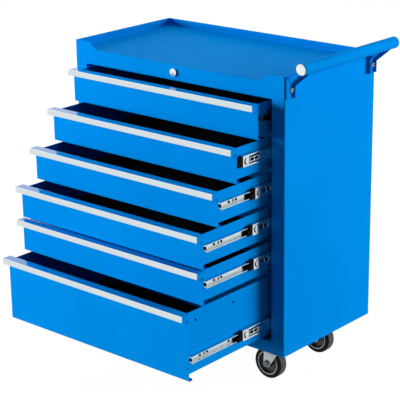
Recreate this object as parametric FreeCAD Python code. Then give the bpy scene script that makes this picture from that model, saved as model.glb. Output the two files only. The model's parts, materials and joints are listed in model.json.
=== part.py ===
import FreeCAD, Part
import math
import os

# Roller tool cabinet: a folded sheet steel body on four casters, a tray on top, a push
# handle on the right, six drawers on ball slides and one lock that holds them all.
# All sizes are in millimetres. The body is drawn with its outer lower front left corner
# at zero, X to the right, Y to the back and Z up, and moved to its own frame at the end.

# Body
body_width = 615.0
body_depth = 325.0
body_height = 632.0
sheet = 1.2
fold_radius = 1.0
corner_radius = 1.5
pillar_width = 34.0
pillar_return = 10.0
sill_height = 29.0
sill_flange = 15.0
header_height = 53.0
header_flange = 14.0
back_flange = 12.0

# Tray in the top of the body
tray_depth = 17.5
rim_depth = 8.0
rim_seam = 0.8
pan_radius = 3.0
ear_width = 44.0
ear_slope = 24.0
ear_radius = 9.0

# Uprights that carry the slides
post_depth = 30.0
post_sheet = 1.2
post_top_above_opening = 6.0
front_post = 14.0
rear_post_inset = 2.0

# Drawers, from the top one down
shallow_drawers = 5
shallow_front_height = 77.0
front_gap = 2.0
drawer_open = [44.0, 113.5, 173.5, 222.0, 223.0, 271.5]
runner_open = [6.0, 112.0, 71.5, 81.0, 77.5, 115.0]
front_sheet = 0.7
drawer_sheet = 0.6
drawer_rim = 2.0
drawer_rim_depth = 6.0
drawer_rear_clearance = 24.0
side_below_front = 2.0
shallow_floor_rise = 5.0
deep_floor_rise = 9.0
front_hem = 4.0
front_base_return = 10.0
front_base_hem = 4.0
liner_thickness = 1.0
liner_clearance = 0.5
side_hole_radius = 3.0
side_hole_setbacks = [35.0, 157.5]
side_hole_drop = 25.5

# Drawer pulls
pull_reach = 19.0
pull_cover = 4.0
pull_face_height = 13.0
pull_wall = 1.4
pull_back_height = 3.0

# Ball slides, measured from the post's face towards the drawer
slide_space = 13.0
slide_height_above_front = 43.0
slide_rear_clearance = 13.0
outer_setback = 12.0
outer_height = 34.0
outer_sheet = 1.2
outer_flange = 10.0
mid_setback = 20.0
mid_shorter = 20.0
mid_height = 25.0
mid_sheet = 1.0
mid_web_gap = 1.0
mid_flange = 8.3
inner_setback = 13.0
inner_shorter = 15.0
inner_height = 16.0
inner_sheet = 1.2
inner_flange = 8.4
stage_travel = 160.0
slide_bend = 0.8
screw_hole_radius = 2.7
slot_half_width = 1.6
slot_length = 7.0
inner_hole_setbacks = [45.5, 68.5, 139.5, 165.0, 240.0]
inner_slot_setbacks = [59.0, 157.0, 225.0]
mid_slot_half_width = 2.4
mid_slot_length = 8.5
mid_slot_setbacks = [27.0, 45.0, 235.0]
crescent_radius = 7.5
crescent_setback = 11.0
crescent_width = 3.2
cage_length = 16.0
cage_rise = 0.6
cage_cover = 1.6
cage_clearance = 0.35
ball_radius = 1.3
ball_clearance = 0.15
ball_count = 5
ball_strip_sheet = 0.8
ball_strip_width = 4.5
ball_strip_length = 100.0
ball_strip_end_gap = 12.0

# Central lock
lock_below_top = 34.0
lock_ring_radius = 9.0
lock_ring_proud = 4.5
lock_body_radius = 8.0
lock_body_length = 18.0
lock_nut_flats = 22.0
lock_nut_thickness = 3.0
lock_plug_radius = 5.5
lock_plug_recess = 0.5
lock_collar_radius = 7.0
lock_collar_thickness = 2.0
lock_collar_gap = 0.3
lock_fit = 0.05
lock_hole_clearance = 0.15
key_slot_length = 6.0
key_slot_width = 1.6
key_slot_depth = 6.0
rod_radius = 3.0
cam_thickness = 4.0
cam_small_radius = 4.0
lock_lift = 6.0
cam_gap = 0.9
follower_width = 1.5
bar_width = 20.0
bar_thickness = 2.0
bar_to_back = 10.0
hook_width = 16.0
hook_thickness = 2.0
hook_gap = 2.5
hook_drop = 16.0
tab_width = 22.0
tab_sheet = 1.2
tab_reach = 8.0
tab_lip = 6.0
tab_above_slide = 8.0
bar_overrun = 24.0
guide_height = 16.0
guide_wall = 2.0
guide_clearance = 0.4
hanger_width = 20.0
hanger_thickness = 2.0

# Push handle
tube_radius = 13.0
tube_wall = 1.5
handle_reach = 47.0
handle_rise = 23.0
handle_overhang = 6.0
cap_dome = 4.0
cap_inset = 0.7
cap_plug_length = 12.0
cap_fit = 0.05
bracket_width = 24.0
bracket_sheet = 2.0
bracket_flange = 8.5
bracket_below_top = 48.0
bracket_bend_below_top = 19.0
bracket_rib_below_top = 3.0
bracket_radius = 3.0
bracket_inset = 3.0
bracket_bolt_below_top = 30.0
bracket_bolt_offset = 15.5
saddle_wall = 1.6
saddle_angle = 70.0

# Casters
caster_height = 97.0
caster_inset_x = 69.0
caster_inset_y = 71.0
wheel_radius = 37.5
tyre_half_width = 12.0
tyre_corner = 4.0
rim_radius = 28.0
rim_wall = 3.5
rim_half_width = 12.5
hub_web_half = 4.0
boss_radius = 9.5
boss_half_width = 13.2
axle_radius = 4.0
axle_fit = 0.08
fork_gap = 13.5
fork_sheet = 2.5
fork_end_radius = 9.0
trail = 22.0
plate_width = 62.0
plate_depth = 84.0
plate_thickness = 2.5
plate_bolt_x = 22.0
plate_bolt_y = 31.0
race_radius = 21.0
race_height = 6.7
race_clearance = 0.3
crown_radius = 23.0
crown_front = 28.0
crown_back = 22.0
king_pin_radius = 4.0
king_pin_fit = 0.06
king_pin_head_radius = 7.0
king_pin_head = 4.0
rigid_leg_half_width = 24.0

# Bolts
bolt_radius = 4.0
bolt_clearance = 0.2
bolt_head_flats = 13.0
bolt_head_height = 5.0
bolt_head_round = 5.8
nut_height = 6.0

# Levels and places that follow from the sizes above
opening_top = body_height - header_height
tray_edge = body_height - tray_depth
pan_top = tray_edge - sheet
pan_bottom = pan_top - sheet
pan_rim = body_height - rim_depth - rim_seam
front_left = pillar_width + front_gap
front_right = body_width - front_left
deep_front_bottom = sill_height + front_gap
shallow_pitch = shallow_front_height + front_gap
shallow_top = opening_top - front_gap
deep_front_top = shallow_top - shallow_drawers * shallow_pitch
drawer_rear = body_depth - sheet - drawer_rear_clearance
outer_length = body_depth - outer_setback - slide_rear_clearance
mid_length = outer_length - mid_shorter
inner_length = outer_length - inner_shorter
rear_post = outer_setback + outer_length - post_depth - rear_post_inset
box_left = pillar_width + slide_space
box_right = body_width - box_left
lock_x = body_width / 2
lock_z = body_height - lock_below_top
bar_back = body_depth - sheet - bar_to_back
bar_front = bar_back - bar_thickness
hook_front = drawer_rear + hook_gap
handle_x = body_width + handle_reach
handle_z = body_height + handle_rise
handle_front = -handle_overhang
handle_back = body_depth + handle_overhang
axle_z = wheel_radius - caster_height
cam_front = hook_front + hook_thickness
front_levels = [
    (shallow_top - number * shallow_pitch, shallow_top - number * shallow_pitch - shallow_front_height)
    for number in range(shallow_drawers)
]
front_levels.append((deep_front_top, deep_front_bottom))

# The frame's origin: the middle of the whole cabinet's box, on the floor
lowest_y = -max(drawer_open) - pull_reach
highest_y = handle_back + cap_dome
origin = FreeCAD.Vector((handle_x + tube_radius) / 2, (lowest_y + highest_y) / 2, -caster_height)


def box(x, y, z):
    """A block between the two ends given for each direction."""
    low = FreeCAD.Vector(min(x), min(y), min(z))
    return Part.makeBox(abs(x[1] - x[0]), abs(y[1] - y[0]), abs(z[1] - z[0]), low)


def rod(radius, start, end):
    """A round bar from one point to another."""
    start = FreeCAD.Vector(*start)
    end = FreeCAD.Vector(*end)
    return Part.makeCylinder(radius, (end - start).Length, start, end - start)


def place(plane, across, up, along):
    """A point given by its two places in a plane and its place square to that plane."""
    if plane == "xy":
        return FreeCAD.Vector(across, up, along)
    if plane == "xz":
        return FreeCAD.Vector(across, along, up)
    return FreeCAD.Vector(along, across, up)


def prism(plane, outline, start, end):
    """A solid with a straight sided outline, from start to end square to its plane."""
    points = [place(plane, across, up, start) for across, up in outline]
    face = Part.Face(Part.makePolygon(points + points[:1]))
    return face.extrude(place(plane, 0, 0, end) - place(plane, 0, 0, start))


def sheet_side(line, radii, half, side):
    """One face of a folded sheet: points for straight ends, triples for the arcs at folds."""
    steps = []
    first = (line[1] - line[0]).normalize()
    last = (line[-1] - line[-2]).normalize()
    steps.append([line[0] + FreeCAD.Vector(-first.y, first.x) * half * side])
    for number, radius in enumerate(radii, 1):
        corner = line[number]
        into = (corner - line[number - 1]).normalize()
        out = (line[number + 1] - corner).normalize()
        turn = math.copysign(1.0, into.x * out.y - into.y * out.x)
        middle_radius = radius + half
        run = middle_radius * math.tan(into.getAngle(out) / 2)
        normal = FreeCAD.Vector(-into.y, into.x) * turn
        centre = corner - into * run + normal * middle_radius
        size = middle_radius - turn * side * half
        start = centre + (corner - into * run - centre) * (size / middle_radius)
        end = centre + (corner + out * run - centre) * (size / middle_radius)
        middle = centre + (corner - centre).normalize() * size
        steps.append([start, middle, end] if size > 1e-6 else [centre])
    steps.append([line[-1] + FreeCAD.Vector(-last.y, last.x) * half * side])
    return steps


def folded(plane, line, radii, thickness, start, end):
    """A sheet folded along its middle line, with an inside radius for each fold."""
    middle = [FreeCAD.Vector(across, up) for across, up in line]
    steps = sheet_side(middle, radii, thickness / 2, 1)
    back = sheet_side(middle, radii, thickness / 2, -1)
    steps += [step[::-1] for step in back[::-1]]
    steps.append(steps[0])
    edges = []
    for step, following in zip(steps, steps[1:]):
        here = [place(plane, point.x, point.y, start) for point in step]
        if len(here) == 3:
            edges.append(Part.Arc(*here).toShape())
        there = place(plane, following[0].x, following[0].y, start)
        if (there - here[-1]).Length > 1e-7:
            edges.append(Part.LineSegment(here[-1], there).toShape())
    face = Part.Face(Part.Wire(edges))
    return face.extrude(place(plane, 0, 0, end) - place(plane, 0, 0, start))


def rim(plane, outer, inner, top, bottom, start, end):
    """The folded top edge of a sheet: double thickness with a rounded top."""
    radius = abs(inner - outer) / 2
    middle = (outer + inner) / 2
    outline = [(outer, bottom), (outer, top - radius), (inner, top - radius), (inner, bottom)]
    flat = prism(plane, outline, start, end)
    roll = rod(radius, place(plane, middle, top - radius, start), place(plane, middle, top - radius, end))
    return flat.fuse(roll).removeSplitter()


def hexagon(flats, centre, axis, height):
    """A six sided bolt head or nut, from its centre along its axis."""
    radius = flats / math.sqrt(3)
    points = [
        FreeCAD.Vector(radius * math.cos(math.pi / 3 * side), radius * math.sin(math.pi / 3 * side), 0)
        for side in range(7)
    ]
    solid = Part.Face(Part.makePolygon(points)).extrude(FreeCAD.Vector(0, 0, height))
    solid.Placement = FreeCAD.Placement(
        FreeCAD.Vector(*centre), FreeCAD.Rotation(FreeCAD.Vector(0, 0, 1), FreeCAD.Vector(*axis))
    )
    return solid


def join(pieces):
    """One solid from pieces that touch."""
    whole = pieces[0]
    for piece in pieces[1:]:
        whole = whole.fuse(piece)
    return whole.removeSplitter()


def mirrored(solid):
    """The same piece on the other side of the body's middle."""
    return solid.mirror(FreeCAD.Vector(body_width / 2, 0, 0), FreeCAD.Vector(1, 0, 0))


def moved(solid, x=0.0, y=0.0, z=0.0):
    """A copy of a piece, moved."""
    copy = solid.copy()
    copy.translate(FreeCAD.Vector(x, y, z))
    return copy


def rounded(solid, places, radius):
    """Round the edges that run from front to back at the places given, each an X and a Z."""
    chosen = []
    for edge in solid.Edges:
        for x, z in places:
            if all(abs(vertex.X - x) + abs(vertex.Z - z) < 1e-4 for vertex in edge.Vertexes):
                chosen.append(edge)
    return solid.makeFillet(radius, chosen)


def side_panel():
    """The left side: side sheet, front pillar with its return, and the tray's rim."""
    middle = sheet / 2
    line = [(pillar_width, middle), (middle, middle), (middle, body_depth)]
    wall = folded("xy", line, [corner_radius], sheet, 0, body_height - sheet)
    corner_end = sheet + 2 * corner_radius
    cap_line = [(pillar_width, middle), (middle, middle), (middle, corner_end)]
    cap = folded("xy", cap_line, [corner_radius], sheet, body_height - sheet, body_height)
    inward = box((pillar_width - sheet, pillar_width), (0, pillar_return), (sill_height, opening_top))
    edge = rim("xz", 0, 2 * sheet, body_height, body_height - rim_depth, corner_end, body_depth)
    return join([wall, cap, inward, edge])


def back_panel():
    """The back sheet with its rim and the two flanges that are welded to the sides."""
    low = box((sheet, body_width - sheet), (body_depth - sheet, body_depth), (0, body_height - rim_depth))
    inside = (2 * sheet, body_width - 2 * sheet)
    high = box(inside, (body_depth - sheet, body_depth), (body_height - rim_depth, body_height - 2 * sheet))
    edge = rim("yz", body_depth, body_depth - 2 * sheet, body_height, body_height - rim_depth, *inside)
    flange_top = body_height - bracket_below_top
    flange = box((sheet, 2 * sheet), (body_depth - back_flange, body_depth - sheet), (sheet, flange_top))
    return join([low, high, edge, flange, mirrored(flange)])


def base_panel(sides):
    """The floor of the body, folded up and back at the front as the sill under the drawers."""
    middle = sheet / 2
    line = [
        (sill_flange, sill_height - middle),
        (middle, sill_height - middle),
        (middle, middle),
        (body_depth - sheet, middle),
    ]
    centre = folded("yz", line, [fold_radius, 0], sheet, pillar_width, body_width - pillar_width)
    edge = box((sheet, pillar_width), (sheet, body_depth - sheet), (0, sheet))
    floor = join([centre, edge, mirrored(edge)])
    for x, y in caster_places():
        for bolt_x, bolt_y in bolt_places(x, y):
            hole = rod(bolt_radius + bolt_clearance, (bolt_x, bolt_y, -1), (bolt_x, bolt_y, sheet + 1))
            floor = floor.cut(hole)
    return floor.cut(sides[0]).cut(sides[1])


def front_header():
    """The rail over the drawers, folded back at both edges, with an ear at each end."""
    middle = sheet / 2
    line = [
        (header_flange, opening_top + middle),
        (middle, opening_top + middle),
        (middle, tray_edge - middle),
        (header_flange, tray_edge - middle),
    ]
    rail = folded("yz", line, [fold_radius, fold_radius], sheet, pillar_width, body_width - pillar_width)
    overlap = 3 * sheet + fold_radius
    outline = [
        (pillar_width, tray_edge - overlap),
        (pillar_width, body_height),
        (ear_width, body_height),
        (ear_width + ear_slope, tray_edge),
        (ear_width + 2 * ear_slope, tray_edge),
        (ear_width + 2 * ear_slope, tray_edge - overlap),
    ]
    ear = prism("xz", outline, 0, sheet)
    ear = rounded(ear, [(ear_width, body_height), (ear_width + ear_slope, tray_edge)], ear_radius)
    beyond = box((ear_width + ear_slope + ear_radius, body_width), (-1, sheet + 1), (0, body_height + 1))
    trimmed = ear.cut(beyond)
    header = join([rail, trimmed, mirrored(trimmed)])
    hole_radius = lock_body_radius + lock_hole_clearance
    return header.cut(rod(hole_radius, (lock_x, -1, lock_z), (lock_x, header_flange, lock_z)))


def tray_pan(sides):
    """The tray's floor, turned up at the left, the right and the back."""
    middle = sheet / 2
    line = [
        (sheet + middle, pan_rim),
        (sheet + middle, pan_bottom + middle),
        (body_width - sheet - middle, pan_bottom + middle),
        (body_width - sheet - middle, pan_rim),
    ]
    back = body_depth - sheet
    floor = folded("xz", line, [pan_radius, pan_radius], sheet, sheet + fold_radius, back)
    back_line = [
        (back - 6 * pan_radius, pan_bottom + middle),
        (back - middle, pan_bottom + middle),
        (back - middle, pan_rim),
    ]
    inside = (sheet + pan_radius, body_width - sheet - pan_radius)
    upturn = folded("yz", back_line, [pan_radius], sheet, *inside)
    end = box((sheet, sheet + pan_radius), (back - sheet, back), (pan_bottom + pan_radius, pan_rim))
    return join([floor, upturn, end, mirrored(end)]).cut(sides[0]).cut(sides[1])


def slide_posts():
    """Four uprights, each a channel with its open side welded to the side sheet."""
    posts = []
    middle = post_sheet / 2
    for front in (front_post, rear_post):
        line = [
            (sheet, front + middle),
            (pillar_width - middle, front + middle),
            (pillar_width - middle, front + post_depth - middle),
            (sheet, front + post_depth - middle),
        ]
        top = opening_top + post_top_above_opening
        post = folded("xy", line, [fold_radius, fold_radius], post_sheet, sheet, top)
        posts += [post, mirrored(post)]
    return posts


def slide_levels():
    """The height of each drawer's slides."""
    return [bottom + slide_height_above_front for top, bottom in front_levels]


def channel(web, tips, height, thickness, level, start, length):
    """A slide member: a channel on its side, from its web's outer face to its flange tips."""
    inward = math.copysign(thickness / 2, tips - web)
    half = (height - thickness) / 2
    line = [
        (tips, level + half),
        (web + inward, level + half),
        (web + inward, level - half),
        (tips, level - half),
    ]
    return folded("xz", line, [slide_bend, slide_bend], thickness, start, start + length)


def outer_slides():
    """The members screwed to the posts, one on each side of each drawer."""
    members = []
    for level in slide_levels():
        web = pillar_width
        tips = web + outer_flange
        member = channel(web, tips, outer_height, outer_sheet, level, outer_setback, outer_length)
        for front in (front_post, rear_post):
            y = front + post_depth / 2
            hole = rod(screw_hole_radius, (web - 1, y, level), (web + outer_sheet + 1, y, level))
            member = member.cut(hole)
        members += [member, mirrored(member)]
    return members


def mid_web():
    """The place of the middle member's outer face, on the left."""
    return pillar_width + outer_sheet + mid_web_gap


def ball_strip(level, start):
    """A ball strip with its balls, which fills the gap between two slide members."""
    centre_x = mid_web() + mid_flange * 0.55
    half = ball_strip_width / 2
    strip = box(
        (centre_x - half, centre_x + half),
        (start, start + ball_strip_length),
        (level - ball_strip_sheet / 2, level + ball_strip_sheet / 2),
    )
    pitch = ball_strip_length / ball_count
    for number in range(ball_count):
        y = start + pitch * (number + 0.5)
        strip = strip.fuse(Part.makeSphere(ball_radius, FreeCAD.Vector(centre_x, y, level)))
    return strip


def slot(direction, through, y, z, half_width, length):
    """A cutter for a slot with round ends, through a web, along Y or Z."""
    half = length / 2 - half_width
    along_y = half if direction == "y" else 0
    along_z = half if direction == "z" else 0
    wide_y = along_y if direction == "y" else half_width
    wide_z = along_z if direction == "z" else half_width
    cutter = box(through, (y - wide_y, y + wide_y), (z - wide_z, z + wide_z))
    for side in (-1, 1):
        start = (through[0], y + side * along_y, z + side * along_z)
        end = (through[1], y + side * along_y, z + side * along_z)
        cutter = cutter.fuse(rod(half_width, start, end))
    return cutter


def mid_slides(level):
    """The middle members of one drawer's slides with their cages and ball strips, all closed."""
    web = mid_web()
    tips = web + mid_flange
    member = channel(web, tips, mid_height, mid_sheet, level, mid_setback, mid_length)
    through = (web - 1, web + mid_sheet + 1)
    y = mid_setback + crescent_setback
    crescent = rod(crescent_radius, (through[0], y, level), (through[1], y, level))
    y += crescent_width
    crescent = crescent.cut(rod(crescent_radius, (through[0], y, level), (through[1], y, level)))
    member = member.cut(crescent)
    for setback in mid_slot_setbacks:
        y = mid_setback + setback
        member = member.cut(slot("y", through, y, level, mid_slot_half_width, mid_slot_length))
    inner_tip = box_left - inner_flange
    reach = inner_height / 2 + cage_clearance
    half = mid_height / 2 + cage_rise
    cage_y = (mid_setback - cage_length, mid_setback)
    cage = box((web, box_left - cage_clearance), cage_y, (level - half, level + half))
    passage = (level - reach, level + reach)
    cage = cage.cut(box((inner_tip - cage_clearance, box_left), (0, mid_setback), passage))
    cage = cage.cut(box((web + cage_cover, box_left), (0, mid_setback), passage))
    outer_gap = (outer_height / 2 - outer_sheet + mid_height / 2) / 2
    inner_gap = (mid_height / 2 - mid_sheet + inner_height / 2) / 2
    front_strip = mid_setback + ball_strip_end_gap
    rear_strip = mid_setback + mid_length - ball_strip_end_gap - ball_strip_length
    solids = [member, cage]
    for side in (1, -1):
        solids.append(ball_strip(level + side * outer_gap, rear_strip))
        solids.append(ball_strip(level + side * inner_gap, front_strip))
    return solids + [mirrored(solid) for solid in solids]


def inner_slides(level):
    """The members fixed to the drawer's sides, closed."""
    web = box_left
    tips = web - inner_flange
    member = channel(web, tips, inner_height, inner_sheet, level, inner_setback, inner_length)
    through = (web - inner_sheet - 1, web + 1)
    for setback in inner_hole_setbacks:
        hole = rod(screw_hole_radius, (through[0], setback, level), (through[1], setback, level))
        member = member.cut(hole)
    for setback in inner_slot_setbacks:
        member = member.cut(slot("z", through, setback, level, slot_half_width, slot_length))
    return [member, mirrored(member)]


def drawer_box(top, bottom, floor_rise, side_holes):
    """A closed drawer's box: floor, sides with rolled edges, front and rear walls, lock tab."""
    floor = bottom + floor_rise
    edge = top - pull_wall - side_below_front
    middle = drawer_sheet / 2
    face = front_sheet
    rear = drawer_rear
    line = [
        (box_left + middle, edge - drawer_rim / 2),
        (box_left + middle, floor + middle),
        (box_right - middle, floor + middle),
        (box_right - middle, edge - drawer_rim / 2),
    ]
    tub = folded("xz", line, [fold_radius, fold_radius], drawer_sheet, face, rear)
    side_rim = rim("xz", box_left, box_left + drawer_rim, edge, edge - drawer_rim_depth, face, rear)
    ends = []
    for outer, inner in ((face, face + drawer_rim), (rear, rear - drawer_rim)):
        wall = (outer, outer + math.copysign(drawer_sheet, inner - outer))
        bend = drawer_sheet + fold_radius
        ends.append(box((box_left + bend, box_right - bend), wall, (floor, floor + bend)))
        ends.append(box((box_left, box_right), wall, (floor + bend, edge - drawer_rim / 2)))
        ends.append(rim("yz", outer, inner, edge, edge - drawer_rim_depth, box_left, box_right))
    tab_level = bottom + slide_height_above_front + tab_above_slide
    tab_x = (lock_x - tab_width / 2, lock_x + tab_width / 2)
    shelf = box(tab_x, (rear - drawer_sheet, rear + tab_reach), (tab_level, tab_level + tab_sheet))
    lip = box(tab_x, (rear + tab_reach - tab_sheet, rear + tab_reach), (tab_level - tab_lip, tab_level))
    drawer = join([tub, side_rim, mirrored(side_rim)] + ends + [shelf, lip])
    if side_holes:
        for setback in side_hole_setbacks:
            z = top - side_hole_drop
            hole = rod(side_hole_radius, (box_left - 1, setback, z), (box_right + 1, setback, z))
            drawer = drawer.cut(hole)
    return drawer


def drawer_front(top, bottom):
    """A closed drawer's front: one sheet, folded back at the top and rolled in at the foot."""
    middle = front_sheet / 2
    high = top - pull_wall
    line = [
        (front_hem, high - middle),
        (middle, high - middle),
        (middle, bottom + middle),
        (front_base_return - middle, bottom + middle),
        (front_base_return - middle, bottom + front_base_hem),
    ]
    return folded("yz", line, [0, fold_radius, fold_radius], front_sheet, front_left, front_right)


def drawer_pull(top):
    """A closed drawer's pull: a flat top over the front's edge, a face, and a leg on the front."""
    low = top - pull_face_height
    top_plate = box((front_left, front_right), (-pull_reach, pull_cover), (top - pull_wall, top))
    face = box((front_left, front_right), (-pull_reach, pull_wall - pull_reach), (low, top))
    leg = box((front_left, front_right), (-pull_wall, 0), (top - pull_back_height, top))
    return join([top_plate, face, leg])


def drawer_liner(bottom, floor_rise):
    """The mat on a closed drawer's floor."""
    inset = drawer_rim + liner_clearance
    low = bottom + floor_rise + drawer_sheet
    return box(
        (box_left + inset, box_right - inset),
        (front_sheet + inset, drawer_rear - inset),
        (low, low + liner_thickness),
    )


def lock_housing():
    """The lock's barrel and nut, the rod's hanger, and the two guides of the bar."""
    ring = rod(lock_ring_radius, (lock_x, -lock_ring_proud, lock_z), (lock_x, 0, lock_z))
    ring = ring.makeFillet(lock_ring_proud / 4, [ring.Edges[0]])
    body = rod(lock_body_radius, (lock_x, 0, lock_z), (lock_x, lock_body_length, lock_z))
    bore_start = (lock_x, -lock_ring_proud - 1, lock_z)
    bore = rod(lock_plug_radius + lock_fit, bore_start, (lock_x, lock_body_length + 1, lock_z))
    barrel = ring.fuse(body).cut(bore)
    nut = hexagon(lock_nut_flats, (lock_x, sheet, lock_z), (0, 1, 0), lock_nut_thickness)
    nut_bore = rod(lock_body_radius + lock_fit, (lock_x, 0, lock_z), (lock_x, lock_body_length, lock_z))
    nut = nut.cut(nut_bore)
    hanger_x = (lock_x - hanger_width / 2, lock_x + hanger_width / 2)
    hanger_back = drawer_rear - hanger_thickness
    hanger_y = (hanger_back - hanger_thickness, hanger_back)
    hanger = box(hanger_x, hanger_y, (lock_z - 2.5 * rod_radius, pan_bottom))
    rod_hole = rod(rod_radius + lock_fit, (lock_x, hanger_y[0] - 1, lock_z), (lock_x, hanger_y[1] + 1, lock_z))
    solids = [barrel, nut, hanger.cut(rod_hole)]
    levels = slide_levels()
    for upper, lower in (levels[:2], levels[-2:]):
        solids.append(bar_guide((upper + lower) / 2))
    return solids


def bar_guide(level):
    """A block on the back panel with a slot for the lock bar."""
    half = bar_width / 2 + guide_clearance
    slot_y = (bar_front - guide_clearance, bar_back + guide_clearance)
    outside_x = (lock_x - half - guide_wall, lock_x + half + guide_wall)
    guide_z = (level - guide_height / 2, level + guide_height / 2)
    block = box(outside_x, (slot_y[0] - guide_wall, body_depth - sheet), guide_z)
    return block.cut(box((lock_x - half, lock_x + half), slot_y, (guide_z[0] - 1, guide_z[1] + 1)))


def lock_core():
    """The plug with its key slot, and the rod that carries the cam at the back."""
    face = lock_plug_recess - lock_ring_proud
    collar_front = lock_body_length + lock_collar_gap
    collar_back = collar_front + lock_collar_thickness
    cam_back = cam_front + cam_thickness
    plug = rod(lock_plug_radius, (lock_x, face, lock_z), (lock_x, collar_back, lock_z))
    collar = rod(lock_collar_radius, (lock_x, collar_front, lock_z), (lock_x, collar_back, lock_z))
    shaft = rod(rod_radius, (lock_x, collar_front, lock_z), (lock_x, cam_back, lock_z))
    slot = box(
        (lock_x - key_slot_width / 2, lock_x + key_slot_width / 2),
        (face, face + key_slot_depth),
        (lock_z - key_slot_length / 2, lock_z + key_slot_length / 2),
    )
    return join([plug, collar, shaft, cam()]).cut(slot)


def cam():
    """A quarter turn of spiral that rises evenly with the angle, closed by its small circle."""
    steps = 12
    outline = [(lock_x, lock_z)]
    for step in range(steps + 1):
        angle = math.pi / 2 * (1 + step / steps)
        radius = cam_small_radius + lock_lift * step / steps
        outline.append((lock_x + radius * math.cos(angle), lock_z + radius * math.sin(angle)))
    wedge = prism("xz", outline, cam_front, cam_front + cam_thickness)
    hub = rod(cam_small_radius, (lock_x, cam_front, lock_z), (lock_x, cam_front + cam_thickness, lock_z))
    return wedge.fuse(hub).removeSplitter()


def lock_bar():
    """The upright bar behind the drawers, with a hook for each and a foot on the cam."""
    foot_low = lock_z + cam_small_radius + cam_gap
    foot_high = foot_low + hook_thickness
    tabs = [level + tab_above_slide for level in slide_levels()]
    bar_x = (lock_x - bar_width / 2, lock_x + bar_width / 2)
    bar_low = min(tabs) - tab_lip - bar_overrun
    pieces = [box(bar_x, (bar_front, bar_back), (bar_low, foot_high))]
    foot_x = (lock_x - follower_width / 2, lock_x + follower_width / 2)
    pieces.append(box(foot_x, (cam_front, bar_front), (foot_low, foot_high)))
    hook_x = (lock_x - hook_width / 2, lock_x + hook_width / 2)
    for tab in tabs:
        arm_low = tab - hook_drop
        pieces.append(box(hook_x, (hook_front, bar_front), (arm_low, arm_low + hook_thickness)))
        tip_z = (arm_low, tab - tab_lip - 1)
        pieces.append(box(hook_x, (hook_front, hook_front + hook_thickness), tip_z))
    return join(pieces)


def handle_tube():
    """The round tube of the push handle."""
    start = (handle_x, handle_front, handle_z)
    end = (handle_x, handle_back, handle_z)
    return rod(tube_radius, start, end).cut(rod(tube_radius - tube_wall, start, end))


def end_caps():
    """The two domed caps pressed into the tube."""
    caps = []
    for face, outward in ((handle_front, -1), (handle_back, 1)):
        plug_end = (handle_x, face - outward * cap_plug_length, handle_z)
        plug = rod(tube_radius - tube_wall - cap_fit, plug_end, (handle_x, face, handle_z))
        cap_radius = tube_radius - cap_inset
        sphere_radius = (cap_radius ** 2 + cap_dome ** 2) / (2 * cap_dome)
        centre = FreeCAD.Vector(handle_x, face + outward * (cap_dome - sphere_radius), handle_z)
        collar = rod(cap_radius, (handle_x, face, handle_z), (handle_x, face + outward * cap_dome, handle_z))
        caps.append(plug.fuse(collar.common(Part.makeSphere(sphere_radius, centre))).removeSplitter())
    return caps


def bracket_fronts():
    """Where each handle bracket starts, counted from the front."""
    return [bracket_inset, body_depth - bracket_inset - bracket_width]


def handle_brackets():
    """Two pressed brackets: a web on the side, a bent arm up to the tube, and two ribs."""
    low = body_height - bracket_below_top
    bend = body_height - bracket_bend_below_top
    middle = body_width + bracket_sheet / 2
    knee = FreeCAD.Vector(middle, 0, bend)
    centre = FreeCAD.Vector(handle_x, 0, handle_z)
    along = (centre - knee).normalize()
    arm_end = centre - along * (tube_radius - bracket_sheet / 4)
    brackets = []
    for front in bracket_fronts():
        rear = front + bracket_width
        line = [(middle, low), (middle, bend), (arm_end.x, arm_end.z)]
        arm = folded("xz", line, [bracket_radius], bracket_sheet, front, rear)
        rib_outline = [
            (body_width, low),
            (body_width + bracket_flange, low),
            (body_width + bracket_flange, body_height - 2 * bracket_rib_below_top),
            (body_width + bracket_sheet, body_height - bracket_rib_below_top),
            (body_width, body_height - bracket_rib_below_top),
        ]
        rib = prism("xz", rib_outline, front, front + bracket_sheet)
        brace_outline = [
            (body_width, low),
            (body_width + bracket_flange, low),
            (body_width + bracket_flange, bend - bracket_radius),
            (centre.x, handle_z - tube_radius),
            (arm_end.x, arm_end.z),
            (middle, bend),
            (body_width, bend),
        ]
        brace = prism("xz", brace_outline, rear - bracket_sheet, rear)
        saddle = rod(tube_radius + saddle_wall, (centre.x, front, centre.z), (centre.x, rear, centre.z))
        wedge = saddle_wedge(centre, along, front, rear)
        bracket = join([arm, rib, brace, saddle.common(wedge)])
        tube_space = rod(tube_radius, (centre.x, front - 1, centre.z), (centre.x, rear + 1, centre.z))
        brackets.append(bracket.cut(tube_space).cut(bracket_bolt_hole(front)))
    return brackets


def saddle_wedge(centre, along, front, rear):
    """The sector of the saddle that the arm reaches."""
    half = math.radians(saddle_angle / 2)
    reach = 2 * tube_radius
    outline = [(centre.x, centre.z)]
    for turn in (-half, half):
        x = -along.x * math.cos(turn) + along.z * math.sin(turn)
        z = -along.x * math.sin(turn) - along.z * math.cos(turn)
        outline.append((centre.x + reach * x, centre.z + reach * z))
    return prism("xz", outline, front, rear)


def bracket_bolt_hole(front):
    """The clearance hole for a bracket's bolt, through the bracket and the side."""
    y = front + bracket_bolt_offset
    z = body_height - bracket_bolt_below_top
    start = (body_width - 2 * sheet, y, z)
    return rod(bolt_radius + bolt_clearance, start, (body_width + 2 * bracket_sheet, y, z))


def caster_places():
    """The middle of each caster's plate: left front, left rear, right front, right rear."""
    return [
        (x, y)
        for x in (caster_inset_x, body_width - caster_inset_x)
        for y in (caster_inset_y, body_depth - caster_inset_y)
    ]


def bolt_places(x, y):
    """The four bolts of a caster's plate."""
    return [
        (x + across * plate_bolt_x, y + along * plate_bolt_y)
        for across in (-1, 1)
        for along in (-1, 1)
    ]


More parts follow.
